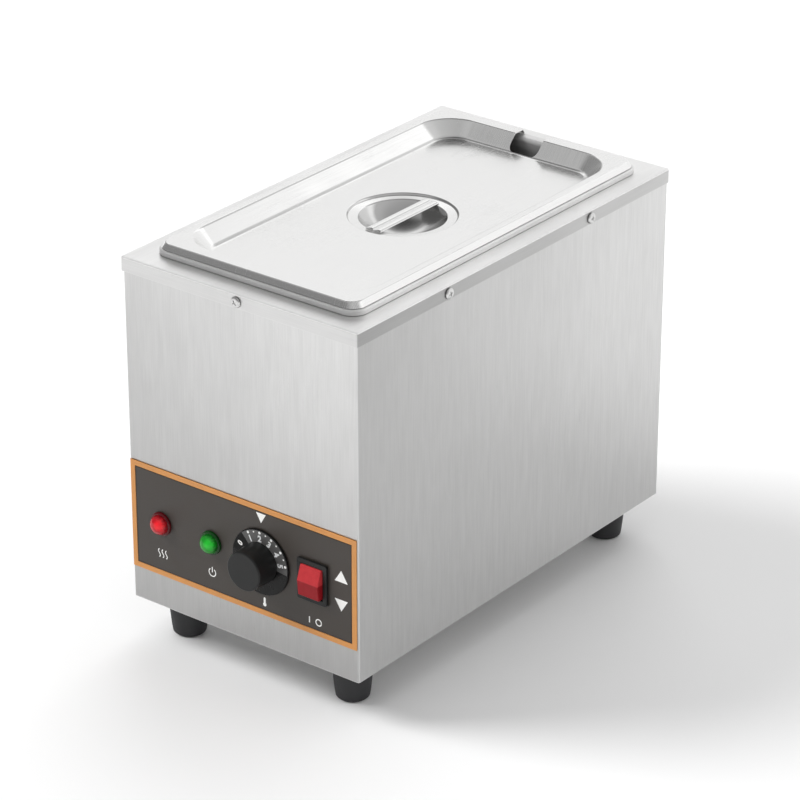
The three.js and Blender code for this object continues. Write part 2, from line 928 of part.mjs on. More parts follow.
// A lamp lens with a flange and a dome, its back on the panel.
function lampLens() {
  const shoulder = lensFlangeThickness;
  const profile = [
    [0, 0],
    [lensFlangeRadius, 0],
    [lensFlangeRadius, shoulder - lensBevel],
    [lensFlangeRadius - lensBevel, shoulder],
  ];
  for (let i = 0; i <= domeSteps; i++) {
    const angle = (i / domeSteps) * 90 * degree;
    const rise = (lensHeight - shoulder) * Math.sin(angle);
    profile.push([i === domeSteps ? 0 : lensDomeRadius * Math.cos(angle), shoulder + rise]);
  }
  return turnedFront(profile, middleSides);
}

// The barrel behind a lens, with two connection blades.
function lampBarrel() {
  const start = fieldFront;
  const end = start + lampBarrelLength;
  const blades = [-1, 1].map((side) => {
    const x = (side * lampBarrelRadius) / 2;
    return block(
      x - bladeThickness / 2,
      end - overlap,
      controlHeight - bladeWidth / 4,
      x + bladeThickness / 2,
      end + lampBladeLength,
      controlHeight + bladeWidth / 4,
    );
  });
  return joined(barY(0, controlHeight, start, end, lampBarrelRadius), ...blades);
}

function lampNut() {
  const start = frontInside + gap;
  return hexagonY(
    0,
    controlHeight,
    start,
    start + lampNutThickness,
    lampNutRadius,
    lampBarrelRadius + holeClearance,
  );
}

// The thermostat: a case with a front bush, a fixing plate and two blades.
function thermostatBody() {
  const start = frontInside + gap;
  const end = start + thermostatDepth;
  const halfWidth = thermostatWidth / 2;
  const halfHeight = thermostatHeight / 2;
  const plateEnd = start + thermostatPlate;
  const body = block(
    knobX - halfWidth,
    plateEnd,
    controlHeight - halfHeight,
    knobX + halfWidth,
    end,
    controlHeight + halfHeight,
  );
  const plate = block(
    knobX - halfWidth - thermostatWing,
    start,
    controlHeight - halfHeight / 2,
    knobX + halfWidth + thermostatWing,
    plateEnd + overlap,
    controlHeight + halfHeight / 2,
  );
  const bush = barY(knobX, controlHeight, fieldFront, plateEnd, bushRadius, middleSides);
  const bore = barY(
    knobX,
    controlHeight,
    fieldFront - overlap,
    start + shaftSeat,
    shaftRadius + shaftClearance,
    middleSides,
  );
  const bladeTop = controlHeight - halfHeight * thermostatBladeDropShare;
  const blades = [-1, 1].map((side) => {
    const x = knobX + (side * halfWidth) / 2;
    return block(
      x - bladeWidth / 2,
      end - overlap,
      bladeTop - bladeThickness,
      x + bladeWidth / 2,
      end + bladeLength,
      bladeTop,
    );
  });
  return cut(joined(body, plate, bush, ...blades), bore);
}

// The shaft with its flat. It runs along Y through the middle of the knob.
function shaft() {
  const inner = frontInside + shaftSeat;
  const outer = knobFront + gripFaceThickness + gap;
  const round = barY(0, 0, outer, inner, shaftRadius, middleSides);
  const flat = block(
    -shaftRadius,
    outer - overlap,
    shaftRadius - shaftFlat,
    shaftRadius,
    controlBack,
    shaftRadius + overlap,
  );
  return cut(round, flat);
}

function dialDisc() {
  const bore = shaftRadius + holeClearance;
  const bevel = dialThickness * dialBevelShare;
  const profile = [
    [bore, 0],
    [dialRadius, 0],
    [dialRadius, dialThickness - bevel],
    [dialRadius - bevel, dialThickness],
    [bore, dialThickness],
    [bore, 0],
  ];
  return turnedFront(profile).translate([0, controlBack, 0]);
}

function knobGrip() {
  const back = controlBack - dialThickness - gap;
  const height = back - knobFront;
  const bore = shaftRadius + holeClearance;
  const bend = gripEdgeRadius * (1 - Math.SQRT1_2);
  const profile = [
    [bore, 0],
    [gripRadius, 0],
    [gripTopRadius, height - gripEdgeRadius],
    [gripTopRadius - bend, height - bend],
    [gripTopRadius - gripEdgeRadius, height],
    [0, height],
    [0, height - gripFaceThickness],
    [bore, height - gripFaceThickness],
    [bore, 0],
  ];
  return turnedFront(profile).translate([0, back, 0]);
}

// The switch: a bezel in front of the panel and a body behind it, hollow for the rocker.
function switchHousing() {
  const bezelBack = controlBack;
  const outline = roundedOutline(bezelWidth, bezelHeight, bezelCornerRadius, sheetBendSteps);
  const bezel = raised(outline, 0, bezelThickness)
    .rotate([90, 0, 0])
    .translate([switchX, bezelBack, controlHeight]);
  const end = frontInside + switchBodyDepth;
  const body = block(
    switchX - switchBodyWidth / 2,
    bezelBack - overlap,
    controlHeight - switchBodyHeight / 2,
    switchX + switchBodyWidth / 2,
    end,
    controlHeight + switchBodyHeight / 2,
  );
  const halfWidth = rockerWidth / 2 + rockerClearance;
  const halfHeight = rockerLength / 2 + rockerClearance;
  const hollow = block(
    switchX - halfWidth,
    bezelBack - bezelThickness - overlap,
    controlHeight - halfHeight,
    switchX + halfWidth,
    bezelBack - bezelThickness + rockerPivotDepth + rockerBelly + gap,
    controlHeight + halfHeight,
  );
  const blades = [-1, 1].flatMap((side) =>
    [-1, 1].map((level) => {
      const x = switchX + side * switchBodyWidth / 4;
      const z = controlHeight + level * switchBodyHeight / 4;
      return block(
        x - bladeWidth / 2,
        end - overlap,
        z - bladeThickness / 2,
        x + bladeWidth / 2,
        end + bladeLength,
        z + bladeThickness / 2,
      );
    }),
  );
  return joined(cut(joined(bezel, body), hollow), ...blades);
}

// The rocker, in the coordinates of its pivot: two flats that meet in a ridge, over a round belly.
function rocker() {
  const half = rockerLength / 2;
  const ridge = rockerPivotDepth + rockerRise;
  const end = ridge - half * Math.tan(rockerRidgeAngle * degree);
  const belly = Array.from({ length: bellySteps + 1 }, (_, i) => {
    const angle = (180 + (i / bellySteps) * 180) * degree;
    return [half * rockerBellyShare * Math.cos(angle), (rockerBelly - gap) * Math.sin(angle)];
  });
  const outline = [[half, end], [0, ridge], [-half, end], ...belly];
  const solid = raised(outline, -rockerWidth / 2, rockerWidth / 2);
  return solid.rotate([0, 90, 0]).rotate([180, 0, 0]);
}

// Feet and screws

function foot() {
  const height = footHeight - gap;
  const hole = footScrewRadius + holeClearance;
  const profile = [
    [footBoreRadius, 0],
    [footBottomRadius, 0],
    [footBulgeRadius, footBulgeHeight],
    [footShoulderRadius, footShoulderHeight],
    [footTopRadius, height - footTopBevel],
    [footTopRadius - footTopBevel, height],
    [hole, height],
    [hole, footBoreDepth],
    [footBoreRadius, footBoreDepth],
    [footBoreRadius, 0],
  ];
  return turned(profile, middleSides);
}

function footScrew() {
  const seat = footBoreDepth - gap;
  const top = footHeight + sheet + footScrewRise;
  const profile = [
    [0, seat - footScrewHead],
    [footScrewHeadRadius - footScrewBevel, seat - footScrewHead],
    [footScrewHeadRadius, seat - footScrewHead + footScrewBevel],
    [footScrewHeadRadius, seat],
    [footScrewRadius, seat],
    [footScrewRadius, top - footScrewBevel],
    [footScrewRadius - footScrewBevel, top],
    [0, top],
  ];
  return turned(profile, screwSides);
}

// A round-headed screw whose shank runs to +Y from the origin, the underside of its head.
function screw(length) {
  const headTop = -screwHeadHeight;
  const profile = [
    [0, -length],
    [screwShankRadius, screwPoint - length],
    [screwShankRadius, 0],
    [screwHeadRadius, 0],
    [screwHeadRadius, screwHeadHeight * headEdgeShare],
    [screwHeadRadius * headCrownShare, screwHeadHeight],
    [0, screwHeadHeight],
  ];
  const y0 = headTop - overlap;
  const y1 = headTop + screwCrossDepth;
  const long = screwCross / 2;
  const wide = screwCrossWidth / 2;
  const cross = joined(block(-long, y0, -wide, long, y1, wide), block(-wide, y0, -long, wide, y1, long));
  return cut(turnedFront(profile, screwSides), cross);
}

function capScrewPieces() {
  const solid = screw(screwLength);
  return capScrews.map(([name, x, y, turn]) => {
    const mesh = piece(name, solid, zinc);
    const upwards = new THREE.Vector3(0, 0, 1);
    const outward = new THREE.Vector3(0, -gap, 0).applyAxisAngle(upwards, turn * degree);
    mesh.rotation.z = turn * degree;
    mesh.position.set(x + outward.x, y + outward.y, capTop - capScrewDrop);
    return mesh;
  });
}

function rearScrewPieces() {
  const names = [
    "rear_screw_low_left",
    "rear_screw_low_right",
    "rear_screw_high_left",
    "rear_screw_high_right",
  ];
  const solid = screw(screwLength);
  return rearScrewPlaces().map(([x, z], i) => {
    const mesh = piece(names[i], solid, zinc);
    mesh.rotation.z = Math.PI;
    mesh.position.set(x, rearFace + gap, z);
    return mesh;
  });
}

// Cord gland

function glandBody() {
  const start = rearFace + gap;
  const hexEnd = start + glandHexThickness;
  const end = hexEnd + glandDomeLength;
  const inner = rearFace - sheet - glandInside;
  const domeProfile = [
    [0, -overlap],
    [glandDomeRadius, -overlap],
    [glandDomeRadius, glandDomeLength - glandDomeBevel],
    [glandDomeRadius - glandDomeBevel, glandDomeLength],
    [0, glandDomeLength],
  ];
  const dome = turned(domeProfile, middleSides)
    .rotate([-90, 0, 0])
    .translate([glandX, hexEnd, glandHeight]);
  const solid = joined(
    barY(glandX, glandHeight, start, hexEnd, glandHexRadius, nutSides),
    dome,
    barY(glandX, glandHeight, inner, start + overlap, glandBarrelRadius, middleSides),
  );
  return cut(solid, barY(glandX, glandHeight, inner - overlap, end + overlap, glandBore));
}

function glandNut() {
  const end = rearFace - sheet - gap;
  return hexagonY(
    glandX,
    glandHeight,
    end - glandNutThickness,
    end,
    glandHexRadius,
    glandBarrelRadius + holeClearance,
  );
}

// Under the well

// A hairpin tube pressed to the underside of the well, its two ends turned down to the terminals.
function heatingElement() {
  const z = elementHeight;
  const low = z - elementLegDrop;
  const x = elementRunX;
  const line = bent(
    [
      [-x, elementFrontY, low],
      [-x, elementFrontY, z],
      [-x, elementRearY, z],
      [x, elementRearY, z],
      [x, elementFrontY, z],
      [x, elementFrontY, low],
    ],
    elementBend,
  );
  const tips = [-1, 1].map((side) =>
    barZ(side * x, elementFrontY, low - elementTipLength, low + overlap, elementTipRadius, wireSides),
  );
  return joined(wire(line, elementRadius, wireSides), ...tips);
}

function clampPlate() {
  const half = clampWidth / 2;
  const plate = block(
    -half,
    clampMiddleY - clampLength / 2,
    clampTop - clampThickness,
    half,
    clampMiddleY + clampLength / 2,
    clampTop,
  );
  const holes = [-1, 1].map((end) =>
    barZ(
      end * clampStudX,
      clampMiddleY + end * clampStudY,
      clampTop - clampThickness - overlap,
      clampTop + overlap,
      clampStudRadius + holeClearance,
    ),
  );
  const slot = block(
    -clampSlotWidth / 2,
    clampMiddleY - clampSlotLength / 2,
    clampTop - clampThickness - overlap,
    clampSlotWidth / 2,
    clampMiddleY + clampSlotLength / 2,
    clampTop + overlap,
  );
  return cut(plate, ...holes, slot);
}

function clampNutAt(end) {
  const top = clampTop - clampThickness - gap;
  return hexagonZ(
    end * clampStudX,
    clampMiddleY + end * clampStudY,
    top - clampNutThickness,
    top,
    clampNutRadius,
    clampStudRadius + holeClearance,
  );
}

// The bulb of the thermostat with its capillary tube back to the case.
function bulbAndCapillary() {
  const z = wellBottom - gap - bulbRadius;
  const bulb = barY(0, z, bulbStart, bulbStart + bulbLength, bulbRadius);
  const behind = frontInside + gap + thermostatDepth + gap;
  const x = knobX + capillaryOffset;
  const low = controlHeight + capillaryOffset;
  const line = bent(
    [
      [x, behind, low],
      [x, behind + capillaryRun, low],
      [x, behind + capillaryRun, z - capillaryRun],
      [0, bulbStart - capillaryRun, z],
      [0, bulbStart + overlap, z],
    ],
    capillaryOffset,
  );
  return joined(bulb, wire(line, capillaryRadius, leadSides));
}

// A saddle that holds the bulb to the well.
function bulbClip() {
  const top = wellBottom - gap;
  const inner = bulbRadius + gap;
  const outer = inner + clipSheet;
  const y0 = clipY - clipWidth / 2;
  const y1 = clipY + clipWidth / 2;
  const centre = top - bulbRadius;
  const saddle = joined(
    barY(0, centre, y0, y1, outer),
    block(-outer - clipWing, y0, top - clipSheet, outer + clipWing, y1, top),
    block(-outer, y0, centre, outer, y1, top),
  );
  const room = joined(
    barY(0, centre, y0 - overlap, y1 + overlap, inner),
    block(-inner, y0 - overlap, centre, inner, y1 + overlap, top + overlap),
    block(-outer, y0 - overlap, top, outer, y1 + overlap, top + outer),
  );
  return cut(saddle, room);
}

function thermalCutout() {
  const top = wellBottom - gap;
  const flange = block(
    cutoutX - cutoutFlangeWidth / 2,
    cutoutY - cutoutFlangeLength / 2,
    top - cutoutFlangeThickness,
    cutoutX + cutoutFlangeWidth / 2,
    cutoutY + cutoutFlangeLength / 2,
    top,
  );
  const blades = [-1, 1].map((side) => {
    const x = cutoutX + (side * cutoutRadius) / 2;
    return block(
      x - bladeThickness / 2,
      cutoutY - bladeWidth / 2,
      top - cutoutHeight - bladeLength,
      x + bladeThickness / 2,
      cutoutY + bladeWidth / 2,
      top - cutoutHeight + overlap,
    );
  });
  const drum = barZ(cutoutX, cutoutY, top - cutoutHeight, top, cutoutRadius, middleSides);
  return joined(drum, flange, ...blades);
}

// On the base tray

function terminalBlock() {
  const bottom = trayTop + gap;
  const half = terminalWidth / 2;
  const body = block(
    terminalX - half,
    terminalY - terminalDepth / 2,
    bottom,
    terminalX + half,
    terminalY + terminalDepth / 2,
    bottom + terminalHeight,
  );
  const bores = [-1, 0, 1].map((place) =>
    barY(
      terminalX + place * terminalWidth * terminalPitchShare,
      bottom + terminalHeight * terminalBoreShare,
      terminalY - terminalDepth,
      terminalY + terminalDepth,
      terminalBore,
      wireSides,
    ),
  );
  return cut(body, ...bores);
}

function earthStud() {
  const bottom = trayTop + gap;
  return joined(
    barZ(earthX, earthY, bottom, bottom + earthNutThickness, earthNutRadius, nutSides),
    barZ(earthX, earthY, bottom + overlap, bottom + earthStudHeight, earthStudRadius),
  );
}

// Leads run from blade to blade and end just short of the metal.
function leads() {
  const switchEnd = frontInside + switchBodyDepth + bladeLength + gap;
  const thermostatEnd = frontInside + gap + thermostatDepth + bladeLength + gap;
  const switchLow = controlHeight - switchBodyHeight / 4;
  const switchHigh = controlHeight + switchBodyHeight / 4;
  const nearX = switchX - switchBodyWidth / 4;
  const farX = switchX + switchBodyWidth / 4;
  const bladeHeight =
    controlHeight - (thermostatHeight / 2) * thermostatBladeDropShare - bladeThickness / 2;
  const bladeOffset = thermostatWidth / 4;
  const blockFront = terminalY - terminalDepth / 2 - gap;
  const boreHeight = trayTop + gap + terminalHeight * terminalBoreShare;
  const boreOffset = terminalWidth * terminalPitchShare;
  const low = trayTop + leadHeight;
  const tip = elementHeight - elementLegDrop - elementTipLength - gap;
  const routes = {
    lead_supply: [
      [terminalX + boreOffset, blockFront, boreHeight],
      [terminalX + boreOffset, blockFront - leadTail, boreHeight],
      [farX, clampMiddleY, low],
      [farX, switchEnd + leadTail, low],
      [farX, switchEnd + leadTail, switchLow],
      [farX, switchEnd, switchLow],
    ],
    lead_switch_to_thermostat: [
      [nearX, switchEnd, switchHigh],
      [nearX, switchEnd + leadTail, switchHigh],
      [knobX + bladeOffset, thermostatEnd + leadTail, bladeHeight],
      [knobX + bladeOffset, thermostatEnd, bladeHeight],
    ],
    lead_thermostat_to_element: [
      [knobX - bladeOffset, thermostatEnd, bladeHeight],
      [knobX - bladeOffset, thermostatEnd + leadTail, bladeHeight],
      [-elementRunX, elementFrontY, tip - 2 * leadTail],
      [-elementRunX, elementFrontY, tip],
    ],
    lead_element_to_terminal: [
      [elementRunX, elementFrontY, tip],
      [elementRunX, elementFrontY, tip - 2 * leadTail],
      [-terminalX / 2, cutoutY / 2, low],
      [terminalX, terminalY / 2, low],
      [terminalX, blockFront - leadTail, boreHeight],
      [terminalX, blockFront, boreHeight],
    ],
    lead_earth: [
      [terminalX - boreOffset, blockFront, boreHeight],
      [terminalX - boreOffset, blockFront - leadTail, boreHeight],
      [earthX, blockFront - leadTail, boreHeight],
      [earthX, earthY - earthStudRadius - gap, boreHeight],
    ],
  };
  const looks = [brownLead, brownLead, brownLead, blueLead, earthLead];
  return Object.entries(routes).map(([name, corners], i) =>
    piece(name, wire(bent(corners, leadBend), leadRadius, leadSides), looks[i]),
  );
}

// Pan and lid

// The pan: a flat floor, leaning walls, a rounded mouth and a flange with its edge turned down.
function pan() {
  const top = capTop + panFlangeTop;
  const floor = top - panDepth + panWall;
  const neck = top - panNeckRadius;
  const between = (floorSize, mouthSize, height) =>
    floorSize + ((mouthSize - floorSize) * (height - floor)) / (neck - floor);
  const wall = (out, height, lean) => [
    between(panFloorWidth, panMouthWidth, height) + 2 * out,
    between(panFloorLength, panMouthLength, height) + 2 * out,
    between(panFloorRadius, panMouthRadius, height) + out,
    height,
    lean,
  ];
  const mouth = (out, height, lean) => [
    panMouthWidth + 2 * out,
    panMouthLength + 2 * out,
    panMouthRadius + out,
    height,
    lean,
  ];
  const flange = (inset, height, lean) => [
    panWidth - 2 * inset,
    panLength - 2 * inset,
    panCornerRadius - inset,
    height,
    lean,
  ];
  const rings = [
    ...bendPlaces(panFloorFillet, 90).map(([along, up, lean]) =>
      wall(along - panFloorFillet, floor + up, lean),
    ),
    ...bendPlaces(panNeckRadius, 90)
      .reverse()
      .map(([along, up, lean]) => mouth(panNeckRadius - along, top - up, lean)),
    ...bendPlaces(panEdgeRadius, 90).map(([along, up, lean]) =>
      flange(panEdgeRadius - along, top - up, -lean),
    ),
    flange(0, capTop + gap, -90),
  ];
  return pressed(rings, panWall);
}

// The pressed lid: a rim that stands on the pan, a wall down to a flat panel, and the cup.
function lidPressing() {
  const top = capTop + lidTop;
  const panel = capTop + lidPanel;
  const run = (recessWidth - recessFloorWidth) / 2;
  const slope = Math.atan((top - panel) / run) / degree;
  const recess = (along, height, lean) => {
    const share = along / run;
    return [
      recessFloorWidth + (recessWidth - recessFloorWidth) * share,
      recessFloorLength + (recessLength - recessFloorLength) * share,
      recessFloorRadius + (recessRadius - recessFloorRadius) * share,
      height,
      lean,
    ];
  };
  const crest = (inset, height, lean) => [
    lidCrestWidth - 2 * inset,
    lidCrestLength - 2 * inset,
    lidCrestRadius - inset,
    height,
    lean,
  ];
  const tangent = Math.tan((slope / 2) * degree);
  const lipHeight = capTop + panFlangeTop + gap;
  const rings = [
    ...bendPlaces(recessFloorBend, slope).map(([along, up, lean]) =>
      recess(along - recessFloorBend * tangent, panel + up, lean),
    ),
    ...bendPlaces(recessTopBend, slope)
      .reverse()
      .map(([along, up, lean]) => recess(run + recessTopBend * tangent - along, top - up, lean)),
    ...bendPlaces(lidEdgeRadius, lidLipLean).map(([along, up, lean]) =>
      crest(lidEdgeRadius - along, top - up, -lean),
    ),
    [lidLipWidth, lidLipLength, lidLipRadius, lipHeight, -90],
  ];
  const pressing = pressed(rings, lidWall, cornerSteps + 1);
  const mouth = barZ(0, 0, panel - 2 * lidWall, panel + lidWall, cupRingRadius, cupSides);
  return cut(joined(cut(pressing, mouth), cup()), spoonNotch());
}

// The cup under the handle: a shallow step, a flat ring and a round bowl.
function cup() {
  const panel = capTop + lidPanel;
  const ring = panel - cupStepDrop;
  const bury = lidWall * buryShare;
  const bend = cupMouthRadius * cupBendShare;
  const bowl = (growth) =>
    Array.from({ length: cupSteps + 1 }, (_, i) => {
      const angle = (i / cupSteps) * 90 * degree;
      const radius = (cupMouthRadius - bend + growth) * Math.cos(angle) ** cupFlatness;
      const depth = (cupDepth - cupStepDrop - bend) * Math.sin(angle);
      return [i === cupSteps ? 0 : radius, ring - bend - growth - depth];
    });
  const profile = [
    ...bowl(0).reverse(),
    [cupMouthRadius, ring],
    [cupStepRadius, ring],
    [cupRingRadius - bury, panel - bury],
    [cupRingRadius + overlap, panel - bury],
    [cupRingRadius + overlap, panel - lidWall + bury],
    [cupRingRadius, panel - lidWall + bury],
    [cupStepRadius + lidWall, ring - lidWall],
    [cupMouthRadius + bend, ring - lidWall],
    ...bowl(lidWall),
  ];
  return turned(profile, cupSides);
}

// The gap in the rear rim for a spoon.
function spoonNotch() {
  const low = capTop + lidPanel - lidWall - overlap;
  const high = capTop + lidTop + overlap;
  const length = 2 * (lidLipLength / 2 - notchInner);
  return raised(roundedOutline(notchWidth, length, notchRadius), low, high).translate([
    0,
    notchInner + length / 2,
    0,
  ]);
}

// The strap across the cup, with a shallow groove along it and both ends on the ring of the cup.
function lidStrap() {
  const bottom = capTop + lidPanel - cupStepDrop + gap;
  const top = bottom + strapThickness;
  const half = strapWidth / 2;
  const long = strapLength / 2;
  const rim = strapRim;
  const section = [
    [-half, bottom],
    [half, bottom],
    [half, top - strapGroove],
    [half - strapBevel, top],
    [half - rim + strapBevel, top],
    [half - rim, top - strapGroove],
    [-half + rim, top - strapGroove],
    [-half + rim - strapBevel, top],
    [-half + strapBevel, top],
    [-half, top - strapGroove],
  ];
  return raised(section, -long, long).rotate([90, 0, 0]);
}

// Assembly

const group = new THREE.Group();
const part = new THREE.Group();
part.position.y = -middleY;
group.add(part);

part.add(
  piece("housing_wrap", housingWrap(), steel),
  piece("rear_panel", rearPanel(), steel),
  piece("base_tray", baseTray(), steel),
  piece("top_cap", topCap(), steel),
  piece("well", well(), steel),
  piece("insulation", insulation(), wool),
  piece("panel_border", panelBorderFrame(), orange),
  piece("panel_field", panelField(), charcoal),
);

part.add(
  ...repeated(
    ["lamp_red_lens"],
    [[redLampX, controlBack, controlHeight]],
    lampLens(),
    redLens,
  ),
  ...repeated(
    ["lamp_green_lens"],
    [[greenLampX, controlBack, controlHeight]],
    lampLens(),
    greenLens,
  ),
  ...repeated(
    ["lamp_red_barrel", "lamp_green_barrel"],
    [
      [redLampX, 0, 0],
      [greenLampX, 0, 0],
    ],
    lampBarrel(),
    blackPlastic,
  ),
  ...repeated(
    ["lamp_red_nut", "lamp_green_nut"],
    [
      [redLampX, 0, 0],
      [greenLampX, 0, 0],
    ],
    lampNut(),
    blackPlastic,
  ),
  piece("thermostat_body", thermostatBody(), blackPlastic),
  piece("switch_housing", switchHousing(), blackPlastic),
);

const knob = new THREE.Group();
knob.position.set(knobX, 0, controlHeight);
knob.add(
  piece("thermostat_shaft", shaft(), zinc),
  piece("dial", dialDisc(), silverPrint),
  piece("knob_grip", knobGrip(), blackPlastic),
);
part.add(knob);

const rockerPivot = new THREE.Group();
rockerPivot.position.set(
  switchX,
  controlBack - bezelThickness + rockerPivotDepth,
  controlHeight,
);
rockerPivot.rotation.x = -rockerTilt * degree;
rockerPivot.add(piece("rocker", rocker(), redPlastic));
part.add(rockerPivot);

part.add(
  ...repeated(
    ["foot_front_left", "foot_front_right", "foot_rear_left", "foot_rear_right"],
    footPlaces().map(([x, y]) => [x, y, 0]),
    foot(),
    rubber,
  ),
  ...repeated(
    [
      "foot_screw_front_left",
      "foot_screw_front_right",
      "foot_screw_rear_left",
      "foot_screw_rear_right",
    ],
    footPlaces().map(([x, y]) => [x, y, 0]),
    footScrew(),
    zinc,
  ),
  ...capScrewPieces(),
  ...rearScrewPieces(),
);

part.add(
  piece("gland_body", glandBody(), blackPlastic),
  piece("gland_nut", glandNut(), blackPlastic),
  piece("heating_element", heatingElement(), zinc),
  piece("clamp_plate", clampPlate(), zinc),
  piece("clamp_nut_front", clampNutAt(-1), zinc),
  piece("clamp_nut_rear", clampNutAt(1), zinc),
  piece("thermostat_bulb", bulbAndCapillary(), copper),
  piece("bulb_clip", bulbClip(), zinc),
  piece("thermal_cutout", thermalCutout(), blackPlastic),
  piece("terminal_block", terminalBlock(), ceramic),
  piece("earth_stud", earthStud(), copper),
  ...leads(),
);

part.add(
  piece("pan", pan(), polished),
  piece("lid", lidPressing(), polished),
  piece("lid_strap", lidStrap(), polished),
);

export default group;
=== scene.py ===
# Electric chocolate melter: surfaces, printed marks, light and camera.
import json
import math

import bmesh
import bpy
from mathutils import Matrix, Vector

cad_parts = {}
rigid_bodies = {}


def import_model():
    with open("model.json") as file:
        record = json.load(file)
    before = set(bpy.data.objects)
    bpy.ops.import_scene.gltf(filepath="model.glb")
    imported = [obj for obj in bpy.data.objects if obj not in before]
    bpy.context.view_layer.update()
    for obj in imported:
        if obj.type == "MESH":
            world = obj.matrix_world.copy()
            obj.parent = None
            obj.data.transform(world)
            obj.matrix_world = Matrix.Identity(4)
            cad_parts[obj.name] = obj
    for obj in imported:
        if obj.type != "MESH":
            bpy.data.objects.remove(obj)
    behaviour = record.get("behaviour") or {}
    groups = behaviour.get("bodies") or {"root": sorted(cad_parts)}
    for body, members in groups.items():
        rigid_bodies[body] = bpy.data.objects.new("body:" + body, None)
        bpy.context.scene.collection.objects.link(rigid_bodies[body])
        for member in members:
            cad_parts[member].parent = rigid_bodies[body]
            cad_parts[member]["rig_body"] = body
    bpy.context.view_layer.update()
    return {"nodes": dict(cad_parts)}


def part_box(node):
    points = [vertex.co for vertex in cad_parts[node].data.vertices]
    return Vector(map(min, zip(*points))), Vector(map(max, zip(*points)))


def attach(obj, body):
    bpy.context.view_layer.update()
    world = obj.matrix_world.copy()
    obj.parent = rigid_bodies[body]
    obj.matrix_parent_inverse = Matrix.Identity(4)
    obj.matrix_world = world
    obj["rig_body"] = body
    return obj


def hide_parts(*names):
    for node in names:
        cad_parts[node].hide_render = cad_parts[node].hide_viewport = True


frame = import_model()

MM = 0.001
scene = bpy.context.scene


def middle(node):
    """The middle of a node's box, in millimetres."""
    low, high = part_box(node)
    return (low + high) / 2 / MM


SHIFT = middle("top_cap").y


def corners(node):
    """A node's lowest and highest corner, in the housing's own millimetres."""
    return [(corner.x / MM, corner.y / MM - SHIFT, corner.z / MM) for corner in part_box(node)]


# Sizes in millimetres, read from the frame where it has them
CAP_TOP = corners("top_cap")[1][2]
FIELD_FRONT = corners("panel_field")[0][1]
DIAL_FRONT = corners("dial")[0][1]
CONTROL = middle("dial").z
KNOB_X = middle("dial").x
SWITCH_X = middle("switch_housing").x
SHEET = 0.9
SHEET_ROUND = 0.18
GAP = 0.3
CUP_RADIUS = 39.5
LENS_RADIUS = 8.8
WORN_RADIUS = 0.5

# Rounded rectangles, as (width, length, corner radius)
CAP_OPENING = (163, 313, 26)
WELL = (165, 315, 27)
PAN_FLOOR = (134, 283, 22)
PAN_MOUTH = (157, 306, 28)
PAN_FLANGE = (176, 325, 12)
LID_PANEL = (132, 278, 17)
LID_RECESS = (156, 298, 28)
LID_CREST = (168.4, 319, 9.5)
LID_EDGE = (172.6, 322.6, 11)

# Spans in metres over which a sheet's tone changes, as painted light and shade
FACE_HEIGHT = (0.031, 0.29)
WIDTH_SPAN = (-0.1, 0.1)
LENGTH_SPAN = (-0.178, 0.178)

# Distance in metres below which two corners of a mesh are one
MERGE = 1e-6

# Angles in degrees above which an edge stays sharp, on plain pieces and on bent tubes and leads
EDGE_ANGLE = 38
LEAD_ANGLE = 62


# Shapes


def sine(angle):
    return math.sin(math.radians(angle))


def cosine(angle):
    return math.cos(math.radians(angle))


def arc(radius, start, end, steps):
    """Points of a circle's arc about the origin, angles in degrees."""
    angles = [start + (end - start) * i / steps for i in range(steps + 1)]
    return [(radius * cosine(a), radius * sine(a)) for a in angles]


def rounded(width, length, radius, steps=12):
    """A rectangle with rounded corners, anticlockwise."""
    points = []
    for quarter, (sx, sy) in enumerate([(1, 1), (-1, 1), (-1, -1), (1, -1)]):
        cx, cy = sx * (width / 2 - radius), sy * (length / 2 - radius)
        points += [(cx + x, cy + y) for x, y in arc(radius, quarter * 90, quarter * 90 + 90, steps)]
    return points


def plate(x, y, half_width, half_height):
    """The outline of a rectangle about a point."""
    sides = ((-1, -1), (1, -1), (1, 1), (-1, 1))
    return [(x + sx * half_width, y + sy * half_height) for sx, sy in sides]


def grown(sizes, out):
    """A rounded rectangle moved out on every side."""
    width, length, radius = sizes
    return (width + 2 * out, length + 2 * out, radius + out)


def between(first, last, share):
    """A rounded rectangle part of the way from one to another."""
    return tuple(a + (b - a) * share for a, b in zip(first, last))


def smooth(mesh, angle):
    mesh.polygons.foreach_set("use_smooth", [True] * len(mesh.polygons))
    mesh.set_sharp_from_angle(angle=math.radians(angle))


def tidy(mesh):
    bm = bmesh.new()
    bm.from_mesh(mesh)
    bmesh.ops.remove_doubles(bm, verts=bm.verts, dist=MERGE)
    bmesh.ops.recalc_face_normals(bm, faces=bm.faces)
    bm.to_mesh(mesh)
    bm.free()


def thing(name, mesh, look, body, stands_for=()):
    ob = bpy.data.objects.new(name, mesh)
    scene.collection.objects.link(ob)
    mesh.materials.clear()
    mesh.materials.append(look)
    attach(ob, body)
    if stands_for:
        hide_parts(*stands_for)
    return ob


def mesh_from(points, faces, angle):
    """A mesh from points in the housing's own millimetres."""
    mesh = bpy.data.meshes.new("mesh")
    mesh.from_pydata([(x * MM, (y + SHIFT) * MM, z * MM) for x, y, z in points], [], faces)
    tidy(mesh)
    smooth(mesh, angle)
    return mesh


def skin(loops, angle=40, closed=False):
    """A skin through loops of equal length. Its ends are flat, unless it runs back to its start."""
    count = len(loops[0])
    points = [p for loop in loops for p in loop]
    bands = len(loops) if closed else len(loops) - 1
    faces = []
    for band in range(bands):
        a, b = band * count, ((band + 1) % len(loops)) * count
        faces += [(a + i, a + (i + 1) % count, b + (i + 1) % count, b + i) for i in range(count)]
    if not closed:
        faces.append(tuple(reversed(range(count))))
        faces.append(tuple(range((len(loops) - 1) * count, len(loops) * count)))
    return mesh_from(points, faces, angle)


